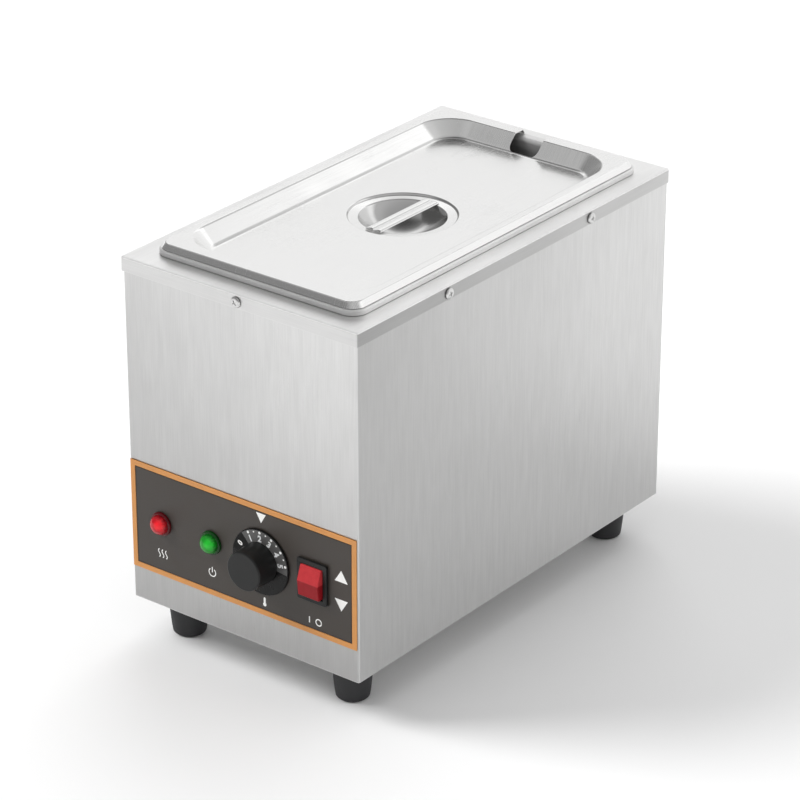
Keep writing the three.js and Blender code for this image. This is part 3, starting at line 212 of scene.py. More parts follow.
def ring(width, length, radius, height, steps=12):
    return [(x, y, height) for x, y in rounded(width, length, radius, steps)]


def pressed(rings, thickness, steps=12):
    """Sheet pressed to shape: rings (width, length, radius, height, lean) of its upper face."""
    front = [ring(*sizes, steps) for *sizes, _ in rings]
    back = []
    for *sizes, height, lean in rings:
        down = thickness * cosine(lean)
        back.append(ring(*grown(sizes, thickness * sine(lean)), height - down, steps))
    return skin(front + back[::-1])


def bends(radius, lean, steps=6):
    """Places on a round bend between level and the given lean: (along, up, lean)."""
    leans = [lean * i / steps for i in range(steps + 1)]
    return [(radius * sine(a), radius * (1 - cosine(a)), a) for a in leans]


def turned(profile, centre, steps, angle=40, front=False):
    """A profile of (radius, distance) turned about an upright axis, or about one to the front."""
    points, faces = [], []
    for i in range(steps):
        a = math.tau * i / steps
        for radius, far in profile:
            x, y = radius * math.cos(a), radius * math.sin(a)
            place = (x, -far, y) if front else (x, y, far)
            points.append(tuple(c + p for c, p in zip(centre, place)))
    n = len(profile)
    for i in range(steps):
        j = (i + 1) % steps
        faces += [(i * n + k, j * n + k, j * n + k + 1, i * n + k + 1) for k in range(n - 1)]
    return mesh_from(points, faces, angle)


def carve(ob, cutter_mesh, angle=40):
    cutter = bpy.data.objects.new("cutter", cutter_mesh)
    scene.collection.objects.link(cutter)
    cut = ob.modifiers.new("cut", "BOOLEAN")
    cut.operation = "DIFFERENCE"
    cut.solver = "EXACT"
    cut.object = cutter
    bpy.context.view_layer.update()
    depsgraph = bpy.context.evaluated_depsgraph_get()
    result = bpy.data.meshes.new_from_object(ob.evaluated_get(depsgraph))
    ob.modifiers.clear()
    ob.data = result
    bpy.data.objects.remove(cutter)
    smooth(result, angle)


def level(ob):
    """Keeps flat faces flat beside rounded ones."""
    normals = ob.modifiers.new("normals", "WEIGHTED_NORMAL")
    normals.mode = "FACE_AREA"
    normals.weight = 60
    normals.keep_sharp = True
    return ob


def soften(ob, width, segments=2, angle=35):
    """Rounds the sharp edges a little."""
    bevel = ob.modifiers.new("edges", "BEVEL")
    bevel.width = width * MM
    bevel.segments = segments
    bevel.limit_method = "ANGLE"
    bevel.angle_limit = math.radians(angle)
    level(ob)


def refined(node, look, width=0.2, segments=2, angle=EDGE_ANGLE):
    """A finer piece made from a CAD node's own mesh, with its sharp edges rounded."""
    flat_angle = 0.6
    source = frame["nodes"][node]
    mesh = source.data.copy()
    bm = bmesh.new()
    bm.from_mesh(mesh)
    bmesh.ops.remove_doubles(bm, verts=bm.verts, dist=2 * MERGE)
    bmesh.ops.dissolve_limit(
        bm,
        angle_limit=math.radians(flat_angle),
        verts=bm.verts,
        edges=bm.edges,
        delimit={"NORMAL"},
    )
    bm.to_mesh(mesh)
    bm.free()
    if mesh.has_custom_normals:
        mesh.attributes.remove(mesh.attributes["custom_normal"])
    smooth(mesh, angle)
    ob = thing(node + "_fine", mesh, look, source["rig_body"], (node,))
    if width:
        soften(ob, width, segments, angle)
    return ob


# Surfaces


class Look:
    """A material with its nodes. Everything is placed by the surface's own coordinates."""

    def __init__(self, name, rough, metal=0.0, **sockets):
        self.material = bpy.data.materials.new(name)
        self.material.use_nodes = True
        self.nodes = self.material.node_tree.nodes
        self.links = self.material.node_tree.links
        self.shader = self.nodes["Principled BSDF"]
        self.shader.inputs["Roughness"].default_value = rough
        self.shader.inputs["Metallic"].default_value = metal
        for socket, value in sockets.items():
            self.shader.inputs[socket.replace("_", " ")].default_value = value
        self.place = self.nodes.new("ShaderNodeTexCoord").outputs["Object"]

    def put(self, value, socket):
        if isinstance(value, bpy.types.NodeSocket):
            self.links.new(value, socket)
        else:
            socket.default_value = value

    def axes(self):
        """The surface's place in metres, as sockets X, Y and Z."""
        parts = self.nodes.new("ShaderNodeSeparateXYZ")
        self.links.new(self.place, parts.inputs[0])
        return parts.outputs

    def noise(self, scale, detail=3, roughness=0.55, distortion=0.0, shift=0.0):
        """Noise of about one cell per unit of scale, in cells per metre along X, Y and Z."""
        mapping = self.nodes.new("ShaderNodeMapping")
        mapping.inputs["Scale"].default_value = scale if hasattr(scale, "__len__") else (scale,) * 3
        mapping.inputs["Location"].default_value = (shift, shift * 1.7, shift * 0.6)
        self.links.new(self.place, mapping.inputs["Vector"])
        noise = self.nodes.new("ShaderNodeTexNoise")
        noise.inputs["Scale"].default_value = 1
        noise.inputs["Detail"].default_value = detail
        noise.inputs["Roughness"].default_value = roughness
        noise.inputs["Distortion"].default_value = distortion
        self.links.new(mapping.outputs["Vector"], noise.inputs["Vector"])
        return noise.outputs["Fac"]

    def math(self, operation, *values):
        node = self.nodes.new("ShaderNodeMath")
        node.operation = operation
        for socket, value in zip(node.inputs, values):
            self.put(value, socket)
        return node.outputs[0]

    def line(self, value, ends, to_ends):
        """A straight change from one pair of values to another."""
        node = self.nodes.new("ShaderNodeMapRange")
        self.put(value, node.inputs["Value"])
        node.inputs["From Min"].default_value, node.inputs["From Max"].default_value = ends
        node.inputs["To Min"].default_value, node.inputs["To Max"].default_value = to_ends
        return node.outputs["Result"]

    def spread(self, value, low, high, to_low=0.0, to_high=1.0):
        """A change like line, with soft ends."""
        result = self.line(value, (low, high), (to_low, to_high))
        result.node.interpolation_type = "SMOOTHSTEP"
        return result

    def blend(self, share, a, b, how="MIX"):
        node = self.nodes.new("ShaderNodeMix")
        node.data_type = "RGBA"
        node.blend_type = how
        self.put(share, node.inputs["Factor"])
        for socket, value in ((node.inputs[6], a), (node.inputs[7], b)):
            self.put((*value, 1) if isinstance(value, tuple) else value, socket)
        return node.outputs[2]

    def bump(self, height, distance, strength=1.0, after=None):
        node = self.nodes.new("ShaderNodeBump")
        node.inputs["Distance"].default_value = distance * MM
        node.inputs["Strength"].default_value = strength
        self.put(height, node.inputs["Height"])
        if after is not None:
            self.links.new(after, node.inputs["Normal"])
        return node.outputs["Normal"]

    def painted_shading(self, axis, span, tones):
        """Painted light and shade: a tone that changes evenly over a face, from (low, high) at its
        start to those at its end.
        """
        place = self.axes()
        start, end = [self.line(place["Z"], FACE_HEIGHT, ends) for ends in tones]
        share = self.line(place[axis], span, (0, 1))
        change = self.math("MULTIPLY", share, self.math("SUBTRACT", end, start))
        return self.math("ADD", start, change)

    def edges(self, radius):
        """Near 1 along sharp edges and 0 on flat ground."""
        bevel = self.nodes.new("ShaderNodeBevel")
        bevel.samples = 4
        bevel.inputs["Radius"].default_value = radius * MM
        ground = self.nodes.new("ShaderNodeNewGeometry").outputs["Normal"]
        node = self.nodes.new("ShaderNodeVectorMath")
        node.operation = "DOT_PRODUCT"
        self.links.new(bevel.outputs["Normal"], node.inputs[0])
        self.links.new(ground, node.inputs[1])
        return self.spread(node.outputs["Value"], 0.98, 0.75)

    def set(self, **sockets):
        for socket, value in sockets.items():
            self.put(value, self.shader.inputs[socket.replace("_", " ")])
        return self.material


def grey(value, tint=(1, 1, 1)):
    return tuple(value * t for t in tint)


def brushed(name, across, tone, rough, contrast, depth=1.0, metal=1.0, edge_wear_and_highlight=0.35, painted_shading=None):
    """Brushed stainless. across holds 1 for each axis the grain varies along, else 0. Its edges are
    paler: wear, and where their share is large also a painted highlight. The optional tone change over
    a face is painted light and shade.
    """
    look = Look(name, rough, metal)
    along_cells = 28.0
    worn_radius, scratch_depth, dent_depth = 0.8 + edge_wear_and_highlight / 2, 0.012 * depth, 0.6

    def cells(number):
        return tuple(number * a + along_cells * (1 - min(a, 1)) for a in across)

    hair = look.noise(cells(4200), 2)
    fine = look.noise(cells(1250), 3, shift=3.1)
    broad = look.noise(cells(170), 3, shift=7.7)
    cloud = look.noise(11, 3, shift=1.3)
    smear = look.noise(38, 4, 0.6, 0.6, 5.0)
    grain = look.math("ADD", look.math("MULTIPLY", fine, 0.6), look.math("MULTIPLY", broad, 0.4))
    swing = 0.055 * contrast
    low, high = tone * (1 - swing), min(tone * (1 + swing), 0.95)
    tint = (1.0, 0.998, 0.992)
    ground = look.blend(look.spread(grain, 0.3, 0.7), grey(low, tint), grey(high, tint))
    # Painted light and shade: the tone changes over the face.
    if painted_shading:
        ground = look.blend(1.0, ground, look.painted_shading(*painted_shading), "MULTIPLY")
    # Paler edges: wear, and where the share is large a painted highlight along the edge.
    worn = look.edges(worn_radius)
    ground = look.blend(look.math("MULTIPLY", worn, edge_wear_and_highlight), ground, grey(0.92, tint))
    glaze = look.spread(hair, 0.25, 0.75, rough - 0.05, rough + 0.08)
    glaze = look.math("ADD", glaze, look.spread(cloud, 0.35, 0.65, -0.03, 0.04))
    glaze = look.math("ADD", glaze, look.spread(smear, 0.58, 0.72, 0.0, 0.045))
    glaze = look.math("SUBTRACT", glaze, look.math("MULTIPLY", worn, 0.06))
    height = look.math("ADD", look.math("MULTIPLY", hair, 0.45), look.math("MULTIPLY", fine, 0.55))
    relief = look.bump(height, scratch_depth, 0.3)
    relief = look.bump(cloud, dent_depth, 0.05, relief)
    return look.set(Base_Color=ground, Roughness=glaze, Normal=relief)


def moulded(name, colour, rough, grain=1500, depth=0.02, swing=0.12, worn=0.25, **sockets):
    """Moulded plastic or rubber with a fine texture, specks of dust and paler edges."""
    look = Look(name, rough, 0.0, **sockets)
    dust = (0.45, 0.44, 0.42)
    fine = look.noise(grain, 3)
    patch = look.noise(70, 4, 0.6, 0.4, 2.2)
    speck = look.noise(900, 2, shift=9.1)
    lighter = tuple(min(c * (1 + swing), 1) for c in colour)
    ground = look.blend(look.spread(patch, 0.3, 0.7), grey(1 - swing, colour), lighter)
    pale = tuple(min(c * 1.6 + 0.03, 1) for c in colour)
    ground = look.blend(look.math("MULTIPLY", look.edges(WORN_RADIUS), worn), ground, pale)
    ground = look.blend(look.spread(speck, 0.72, 0.8, 0.0, 0.06), ground, dust)
    glaze = look.spread(patch, 0.3, 0.7, rough - 0.05, rough + 0.08)
    glaze = look.math("ADD", glaze, look.spread(fine, 0.4, 0.7, 0.0, 0.06))
    return look.set(Base_Color=ground, Roughness=glaze, Normal=look.bump(fine, depth, 0.5))


def printed(name, colour, rough=0.4, depth=0.004, swing=0.1, **sockets):
    """Ink: like moulded plastic, with no worn edges."""
    return moulded(name, colour, rough, 1200, depth, swing, 0.0, **sockets)


def lens_look(name, x, painted_spot_colour, even, painted_rim_colour):
    """Clear coloured plastic with a painted bright spot and a painted dark rim, glowing faintly in the
    same colours.
    """
    look = Look(name, 0.1, 0.0, Specular_IOR_Level=0.35, Emission_Strength=0.22)
    spot_x_share, spot_z_share = 0.42, 0.24
    spot_shares, rim_shares = (0.15, 0.66), (0.64, 0.9)
    wobble_size = 0.3
    place = look.axes()
    cell = look.noise(700, 2)
    wobble = look.spread(cell, 0.3, 0.7, -wobble_size * MM, wobble_size * MM)

    def distance(from_x, from_z):
        across = look.math("SUBTRACT", place["X"], from_x * MM)
        up = look.math("SUBTRACT", place["Z"], from_z * MM)
        squares = [look.math("POWER", part, 2) for part in (across, up)]
        return look.math("ADD", look.math("SQRT", look.math("ADD", *squares)), wobble)

    def shaded(far, shares, inside, outside):
        ends = [share * LENS_RADIUS * MM for share in shares]
        return look.blend(look.spread(far, *ends), inside, outside)

    # Painted light: a bright spot above and right of the middle; painted shade: a dark rim.
    spot = distance(x + spot_x_share * LENS_RADIUS, CONTROL + spot_z_share * LENS_RADIUS)
    ground = shaded(spot, spot_shares, painted_spot_colour, even)
    ground = shaded(distance(x, CONTROL), rim_shares, ground, painted_rim_colour)
    glaze = look.spread(look.noise(160, 3), 0.3, 0.7, 0.06, 0.16)
    relief = look.bump(cell, distance=0.01, strength=0.2)
    return look.set(Base_Color=ground, Emission_Color=ground, Roughness=glaze, Normal=relief)


def rocker_look():
    """Red plastic with painted light: its upper half lighter, and a faint glow in its colour that is
    strongest there.
    """
    look = Look("rocker_red", 0.34, 0.0, Specular_IOR_Level=0.16, Emission_Strength=0.16)
    # Painted light: the upper half is lighter than the lower.
    painted_light_from, painted_light_to = CONTROL + 0.3, CONTROL + 1.3
    painted_light = look.spread(look.axes()["Z"], painted_light_from * MM, painted_light_to * MM)
    patch = look.spread(look.noise(260, 3), 0.3, 0.7)
    low = look.blend(patch, (0.235, 0.008, 0.012), (0.265, 0.009, 0.014))
    high = look.blend(patch, (0.42, 0.03, 0.036), (0.47, 0.036, 0.042))
    ground = look.blend(painted_light, low, high)
    worn = look.math("MULTIPLY", look.edges(WORN_RADIUS), 0.2)
    ground = look.blend(worn, ground, (0.62, 0.12, 0.13))
    glaze = look.spread(look.noise(90, 3), 0.3, 0.7, 0.28, 0.42)
    relief = look.bump(look.noise(700, 2), distance=0.004, strength=0.4)
    return look.set(Base_Color=ground, Emission_Color=ground, Roughness=glaze, Normal=relief)


def wool_look():
    look = Look("mineral_wool", 0.95)
    strand = look.noise((260, 60, 500), 5, 0.7, 1.5)
    clump = look.noise(45, 3, shift=4)
    ground = look.blend(look.spread(strand, 0.3, 0.7), (0.34, 0.28, 0.14), (0.72, 0.66, 0.42))
    relief = look.bump(look.math("ADD", strand, clump), distance=1.2, strength=0.7)
    return look.set(Base_Color=ground, Normal=relief)


def element_look():
    look = Look("element_sheath", 0.45, 1.0)
    heat = look.noise((90, 22, 90), 4, 0.6, 0.5)
    ground = look.blend(look.spread(heat, 0.35, 0.65), (0.30, 0.27, 0.25), (0.13, 0.10, 0.09))
    relief = look.bump(look.noise(900, 3), distance=0.03, strength=0.4)
    return look.set(Base_Color=ground, Normal=relief)


# Painted light and shade for the housing's steel, as (bottom, top) tones at the start and at the end of
# a face: the front darker low down, the sides darker high up at their front end, the side skirts darker
# towards the front.
FRONT_PAINTED_SHADING = ((0.71, 1.02), (0.8, 1.17))
SIDE_PAINTED_SHADING = ((1.05, 0.75), (0.96, 1.1))
SKIRT_PAINTED_SHADING = ((0.72, 0.72), (1.08, 1.08))
upright = {
    "across": (1, 1, 0),
    "tone": 0.605,
    "rough": 0.34,
    "contrast": 0.8,
    "depth": 0.7,
    # A large share of paler edge: a painted highlight along the housing's folds, with wear.
    "edge_wear_and_highlight": 0.8,
}
skirt = {"across": (0, 0, 1), "rough": 0.36, "contrast": 0.5, "depth": 0.5}
steel_upright = brushed("steel_upright", **upright)
steel_front_painted_shading = brushed("steel_front_painted_shading", painted_shading=("X", WIDTH_SPAN, FRONT_PAINTED_SHADING), **upright)
steel_side_painted_shading = brushed("steel_side_painted_shading", painted_shading=("Y", LENGTH_SPAN, SIDE_PAINTED_SHADING), **upright)
# The cap is one sheet in four tones, one for each way its faces look: painted light and shade.
steel_cap_top_painted_light = brushed("steel_cap_top_painted_light", (1, 0, 0.2), tone=0.92, rough=0.36, contrast=0.4, depth=0.4)
steel_skirt_painted_shade = brushed("steel_skirt_painted_shade", tone=0.67, **skirt)
steel_skirt_side_painted_shade = brushed(
    "steel_skirt_side_painted_shade", tone=0.5, painted_shading=("Y", LENGTH_SPAN, SKIRT_PAINTED_SHADING), **skirt
)
steel_fold_wear_and_highlight = brushed(
    "steel_fold_wear_and_highlight", (1, 1, 1), tone=0.9, rough=0.5, contrast=0.4, depth=0.4, metal=0.55
)
steel_lid = brushed("steel_lid", (1, 0, 0), tone=0.86, rough=0.19, contrast=0.12, depth=0.12)
steel_cup_painted_shade = brushed("steel_cup_painted_shade", (1, 0, 0), tone=0.6, rough=0.15, contrast=0.12, depth=0.12)
steel_strap = brushed("steel_strap", (1, 0, 0), tone=0.84, rough=0.2, contrast=0.1, depth=0.1)
steel_pan = brushed(
    "steel_pan", (0, 1, 0), tone=0.85, rough=0.46, contrast=0.4, depth=0.4, metal=0.86
)
steel_drawn = brushed("steel_drawn", (1, 1, 0), tone=0.6, rough=0.4, contrast=0.6, depth=0.4)
steel_inner = brushed("steel_inner", (1, 1, 0), tone=0.7, rough=0.4, contrast=1.0)
plated = brushed("plated_steel", (1, 1, 1), tone=0.66, rough=0.3, contrast=0.8)
overlay_orange = moulded(
    "overlay_orange", (0.66, 0.29, 0.08), 0.42, grain=900, depth=0.01, swing=0.05, worn=0.15
)
overlay_dark = moulded(
    "overlay_dark", (0.046, 0.038, 0.032), 0.42, grain=900, depth=0.012, swing=0.08, worn=0.1
)
print_white = printed("print_white", (0.95, 0.95, 0.93), 0.5, swing=0.04)
print_silver = printed("print_silver", (0.86, 0.87, 0.87))
print_grey = printed("print_grey", (0.095, 0.094, 0.092), depth=0.006)
print_black = printed("print_black", (0.006, 0.006, 0.006), 0.3, Specular_IOR_Level=0.12)
print_brown = printed("print_brown", (0.032, 0.02, 0.013))
black_gloss = moulded(
    "black_gloss",
    (0.008, 0.008, 0.008),
    0.25,
    grain=900,
    depth=0.0015,
    swing=0.15,
    worn=0.2,
    Specular_IOR_Level=0.2,
)
black_satin = moulded(
    "black_satin",
    (0.014, 0.0145, 0.0145),
    0.36,
    grain=1700,
    depth=0.015,
    swing=0.1,
    worn=0.2,
    Specular_IOR_Level=0.3,
)
rubber = moulded(
    "rubber", (0.028, 0.028, 0.03), 0.62, grain=1300, depth=0.04, swing=0.15, worn=0.3
)
nylon = moulded("nylon", (0.78, 0.75, 0.68), 0.5, grain=900)
copper = moulded(
    "copper", (0.72, 0.33, 0.17), 0.3, grain=600, depth=0.01, swing=0.15, worn=0.2, Metallic=1.0
)
wire_brown = moulded("wire_brown", (0.13, 0.05, 0.025), 0.45)
wire_blue = moulded("wire_blue", (0.03, 0.09, 0.33), 0.45)
wire_green = moulded("wire_green", (0.2, 0.42, 0.05), 0.45)
wool = wool_look()
rocker_red = rocker_look()
sheath = element_look()


# Housing


def top_cap():
    """The cap's sheet: up its skirt, in over the top, down at its opening and back below."""
    (left, front, foot), (right, rear, _) = corners("top_cap")
    bend, corner, flat_inset, flat_corner, steps = 1.1, 1.6, 3, 0.5, 6
    outside = (right - left, rear - front, corner)
    # Steps of the opening's edge, as (out, added corner radius, drop)
    edge = ((0.6, 0.6, 0), (0.15, 0, 0.15), (0, 0, 0.5), (0, 0, SHEET))
    upright_limit, end_limit, level_limit = 0.1, 0.7, 0.97

    loops = [ring(*outside, foot, steps)]
    for along, up, _ in reversed(bends(bend, 90, 5)):
        loops.append(ring(*grown(outside, along - bend), CAP_TOP - up, steps))
    width, length, _ = grown(outside, -flat_inset)
    loops.append(ring(width, length, flat_corner, CAP_TOP, steps))
    width, length, radius = CAP_OPENING
    for out, more, drop in edge:
        loops.append(ring(width + 2 * out, length + 2 * out, radius + more, CAP_TOP - drop, steps))
    for height in (CAP_TOP - SHEET, foot):
        loops.append(ring(*grown(outside, -SHEET), height, steps))

    mesh = skin(loops, 50, closed=True)
    level(thing("cap", mesh, steel_cap_top_painted_light, "housing", ("top_cap",)))
    # The sheet's faces get different tones by the way they face: painted light on the top, painted
    # shade on the skirts, and on the bends a paler, half-matte steel that is wear and a painted
    # highlight.
    for look in (steel_skirt_painted_shade, steel_skirt_side_painted_shade, steel_fold_wear_and_highlight):
        mesh.materials.append(look)
    for face in mesh.polygons:
        if abs(face.normal.z) < upright_limit:
            face.material_index = 1 if abs(face.normal.y) > end_limit else 2
        elif abs(face.normal.z) < level_limit:
            face.material_index = 3


def wrap():
    """The folded sheet: its front and its two sides each get their own painted light and shade."""
    ob = refined("housing_wrap", steel_front_painted_shading, SHEET_ROUND)
    ob.data.materials.append(steel_side_painted_shading)
    for face in ob.data.polygons:
        face.material_index = int(abs(face.normal.x) > abs(face.normal.y))


def well():
    """The tub that holds the water, and the two studs under it."""
    depth, fillet, bend, rim, flat = 162, 8, 1.5, 9, 4
    floor, top = CAP_TOP - depth, CAP_TOP - SHEET - GAP

    def at(out, height, lean):
        return (*grown(WELL, out), height, lean)

    rings = [at(-fillet - flat, floor, 0)]
    rings += [at(a - fillet, floor + u, lean) for a, u, lean in bends(fillet, 90)]
    rings += [at(bend - a, top - u, lean) for a, u, lean in reversed(bends(bend, 90, 4))]
    rings.append(at(rim, top, 0))
    mesh = pressed(rings, SHEET)
    level(thing("well_tub", mesh, steel_inner, "housing", ("well",)))

    radius, point, point_rise = 2.5, 2.2, 0.4
    stud_x, studs_middle, studs_apart = 12, 30, 50
    low, high = corners("well")[0][2], floor - SHEET / 2
    profile = [(0, low), (point, low), (radius, low + point_rise), (radius, high), (0, high)]
    for end, name in ((-1, "well_stud_front"), (1, "well_stud_rear")):
        mesh = turned(profile, (end * stud_x, studs_middle + end * studs_apart, 0), 24)
        thing(name, mesh, plated, "housing", ())


top_cap()
wrap()
refined("rear_panel", steel_upright, SHEET_ROUND)
refined("base_tray", steel_inner, SHEET_ROUND)
refined("insulation", wool, width=1.0)
well()

for node, look, width in (
    ("heating_element", sheath, 0),
    ("clamp_plate", plated, 0.2),
    ("clamp_nut_front", plated, 0.3),
    ("clamp_nut_rear", plated, 0.3),
    ("thermostat_bulb", copper, 0),
    ("bulb_clip", plated, 0.12),
    ("thermal_cutout", black_satin, 0.3),
    ("terminal_block", nylon, 0.5),
    ("earth_stud", copper, 0.3),
    ("lead_supply", wire_brown, 0),
    ("lead_switch_to_thermostat", wire_brown, 0),
    ("lead_thermostat_to_element", wire_brown, 0),
    ("lead_element_to_terminal", wire_blue, 0),
    ("lead_earth", wire_green, 0),
    ("lamp_red_barrel", black_satin, 0.3),
    ("lamp_green_barrel", black_satin, 0.3),
    ("lamp_red_nut", black_satin, 0.3),
    ("lamp_green_nut", black_satin, 0.3),
    ("thermostat_body", black_satin, 0.4),
    ("gland_nut", black_satin, 0.4),
    ("gland_body", black_satin, 0.5),
    ("thermostat_shaft", plated, 0.2),
):
    refined(node, look, width, angle=EDGE_ANGLE if width else LEAD_ANGLE)


# Screws

SCREW_RISE = 1.7


def screw_mesh():
    """A round head with a cross recess, its underside at the origin, pointing to -Y."""
    head, bevel, bevel_rise, rim = 4, 0.1, 0.12, 0.5
    shank, reach, point = 2, 7, 1.2
    roundness = 0.7
    arm, half_slot = 1.9, 0.42
    # The recess narrows from its mouth to its floor: (distance out, share of the arm)
    recess_shares = ((1.95, 1.15), (0.65, 0.62))

    profile = [(0, -reach), (shank, point - reach), (shank, 0)]
    profile += [(head - bevel, 0), (head, bevel_rise), (head, rim)]
    dome = SCREW_RISE - rim
    profile += [(head * cosine(a) ** roundness, rim + dome * sine(a)) for a in range(12, 84, 12)]
    mesh = turned(profile + [(0, SCREW_RISE)], (0, -SHIFT, 0), 40, 50, front=True)
    holder = bpy.data.objects.new("screw", mesh)
    scene.collection.objects.link(holder)
    for across in (True, False):
        loops = []
        for out, share in recess_shares:
            halves = (arm * share, half_slot) if across else (half_slot, arm * share)
            loops.append([(x, -out - SHIFT, z) for x, z in plate(0, 0, *halves)])
        carve(holder, skin(loops), 35)
    result = holder.data
    bpy.data.objects.remove(holder)
    return result


def screws():
    """One mesh at every cap and rear screw, each turned by an angle that its name gives."""
    mesh = screw_mesh()
    mesh.materials.append(plated)
    turns = {"front": 0, "rear": 180, "right": 90, "left": -90}
    for node in frame["nodes"]:
        if not node.startswith(("cap_screw_", "rear_screw_")):
            continue
        side = "rear" if node.startswith("rear_screw") else node.split("_")[2]
        turn = Matrix.Rotation(math.radians(turns[side]), 4, "Z")
        outward = turn @ Vector((0, -1, 0))
        low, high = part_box(node)
        reach = abs(((high - low) / 2).dot(outward)) - SCREW_RISE * MM
        tilt = Matrix.Rotation(math.radians(17 + 41 * sum(map(ord, node)) % 90), 4, "Y")
        ob = bpy.data.objects.new(node + "_fine", mesh)
        scene.collection.objects.link(ob)
        ob.matrix_world = Matrix.Translation((low + high) / 2 + outward * reach) @ turn @ tilt
        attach(ob, "housing")
        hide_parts(node)


screws()


# Feet


def feet():
    """A tapered rubber foot and the screw up through it. Outlines are tables of (radius, height)."""
    edge, round_off = 9.3, 2.9
    inside = [(5.4, 0), (5.9, 0), (edge, 0)]
    bottom = [(edge + round_off * sine(a), round_off * (1 - cosine(a))) for a in range(10, 80, 10)]
    side = [(12.7, 6.5), (13.9, 18.5), (14.85, 29.6), (14.8, 30.2), (14.3, 30.65)]
    bore = [(2.8, 30.7), (2.8, 14.0), (5.2, 14.0), (5.4, 13.8), (5.4, 0)]
    foot = inside + bottom + side + bore
    screw = [(0, 10.9), (1.6, 10.7), (3.8, 10.7), (4.5, 11.2), (4.6, 11.8), (4.6, 13.7)]
    screw += [(2.5, 13.7), (2.5, 37.2), (1.8, 37.9), (0, 37.9)]
    for node in [n for n in frame["nodes"] if n.startswith("foot_") and "screw" not in n]:
        at = middle(node)
        centre = (at.x, at.y - SHIFT, 0)
        mesh = turned(foot, centre, 64)
        level(thing(node + "_fine", mesh, rubber, "housing", (node,)))
        name = node.replace("foot_", "foot_screw_")
        mesh = turned(screw, centre, 32)
        level(thing(name + "_fine", mesh, plated, "housing", (name,)))


feet()


# Panel

PRINT_LIFT = 0.005
PRINT_THICKNESS = 0.02
DIAL_PRINT_THICKNESS = 0.015


def mark(name, outline, centre, look, body="housing", thickness=PRINT_THICKNESS):
    """A print that faces the front: an outline of (across, up) about its centre."""
    x, y, z = centre
    loops = [[(x + a, y - out, z + u) for a, u in outline] for out in (0, thickness)]
    thing(name, skin(loops), look, body)


def stroke(points, width):
    """The outline of a line of even width."""
    left, right = [], []
    for i, (x, z) in enumerate(points):
        before = points[max(i - 1, 0)]
        after = points[min(i + 1, len(points) - 1)]
        dx, dz = after[0] - before[0], after[1] - before[1]
        size = math.hypot(dx, dz) or 1
        nx, nz = -dz / size * width / 2, dx / size * width / 2
        left.append((x + nx, z + nz))
        right.append((x - nx, z - nz))
    return left + right[::-1]


def field_line():
    """The thin dark line where the field meets its border."""
    thin, margin = 0.8, 0.02
    (left, _, low), (right, _, high) = corners("panel_field")
    half_width, half_height = (right - left) / 2 - margin, (high - low) / 2 - margin
    centre = ((left + right) / 2, FIELD_FRONT - PRINT_LIFT, (low + high) / 2)
    for side, name in ((-1, "low"), (1, "high")):
        tall = plate(side * (half_width - thin / 2), 0, thin / 2, half_height)
        wide = plate(0, side * (half_height - thin / 2), half_width - thin, thin / 2)
        mark(f"field_line_upright_{name}", tall, centre, print_brown)
        mark(f"field_line_level_{name}", wide, centre, print_brown)


def panel_marks():
    """White prints: index, arrows, heat, power, a thermometer and the two signs of a switch."""
    line, on_line, off_line = 0.75, 0.9, 0.8
    # A ring that is open at its top, from one angle to the other
    open_ring, wave_steps = (125, 415), 12
    tube_half, tube_rise, bulb_radius, bulb_drop = 0.9, 3.0, 1.5, 1.6
    wave_width, wave_height, wave_gap = 0.8, 6.4, 3.2
    shares = [i / wave_steps for i in range(wave_steps + 1)]
    wave = [(wave_width * math.sin(s * math.tau), wave_height * (s - 0.5)) for s in shares]
    tube = [(x * tube_half, z + tube_rise) for x, z in arc(1, 0, 180, 8)]
    bulb = [(x, z - bulb_drop) for x, z in arc(bulb_radius, *open_ring, 16)]
    # Rows of name, outline, x and height above the floor
    marks = [
        ("index_mark", [(-4.3, 3.4), (0.0, -3.9), (4.3, 3.4)], KNOB_X, 130.5),
        ("arrow_up", [(-5.6, -4.2), (5.6, -4.2), (0, 4.6)], 86.9, 108.4),
        ("arrow_down", [(-5.6, 4.2), (0, -4.6), (5.6, 4.2)], 86.8, 86.6),
        ("heat_sign_0", stroke(wave, line), -72.5 - wave_gap, 73.5),
        ("heat_sign_1", stroke(wave, line), -72.5, 73.5),
        ("heat_sign_2", stroke(wave, line), -72.5 + wave_gap, 73.5),
        ("power_sign_ring", stroke(arc(3.0, *open_ring, 24), line), -27.2, 73.9),
        ("power_sign_bar", stroke([(0, 0), (0, 4.2)], line), -27.2, 73.9),
        ("heat_level_sign", tube + bulb, KNOB_X + 2, 66.2),
        ("on_sign", stroke([(-4, -2.4), (-4, 2.4)], on_line), SWITCH_X, 66.5),
        ("off_sign", stroke(arc(2.4, 0, 352, 28), off_line), SWITCH_X + 4, 66.5),
    ]
    for name, outline, x, z in marks:
        mark(name, outline, (x, FIELD_FRONT - PRINT_LIFT, z), print_white)


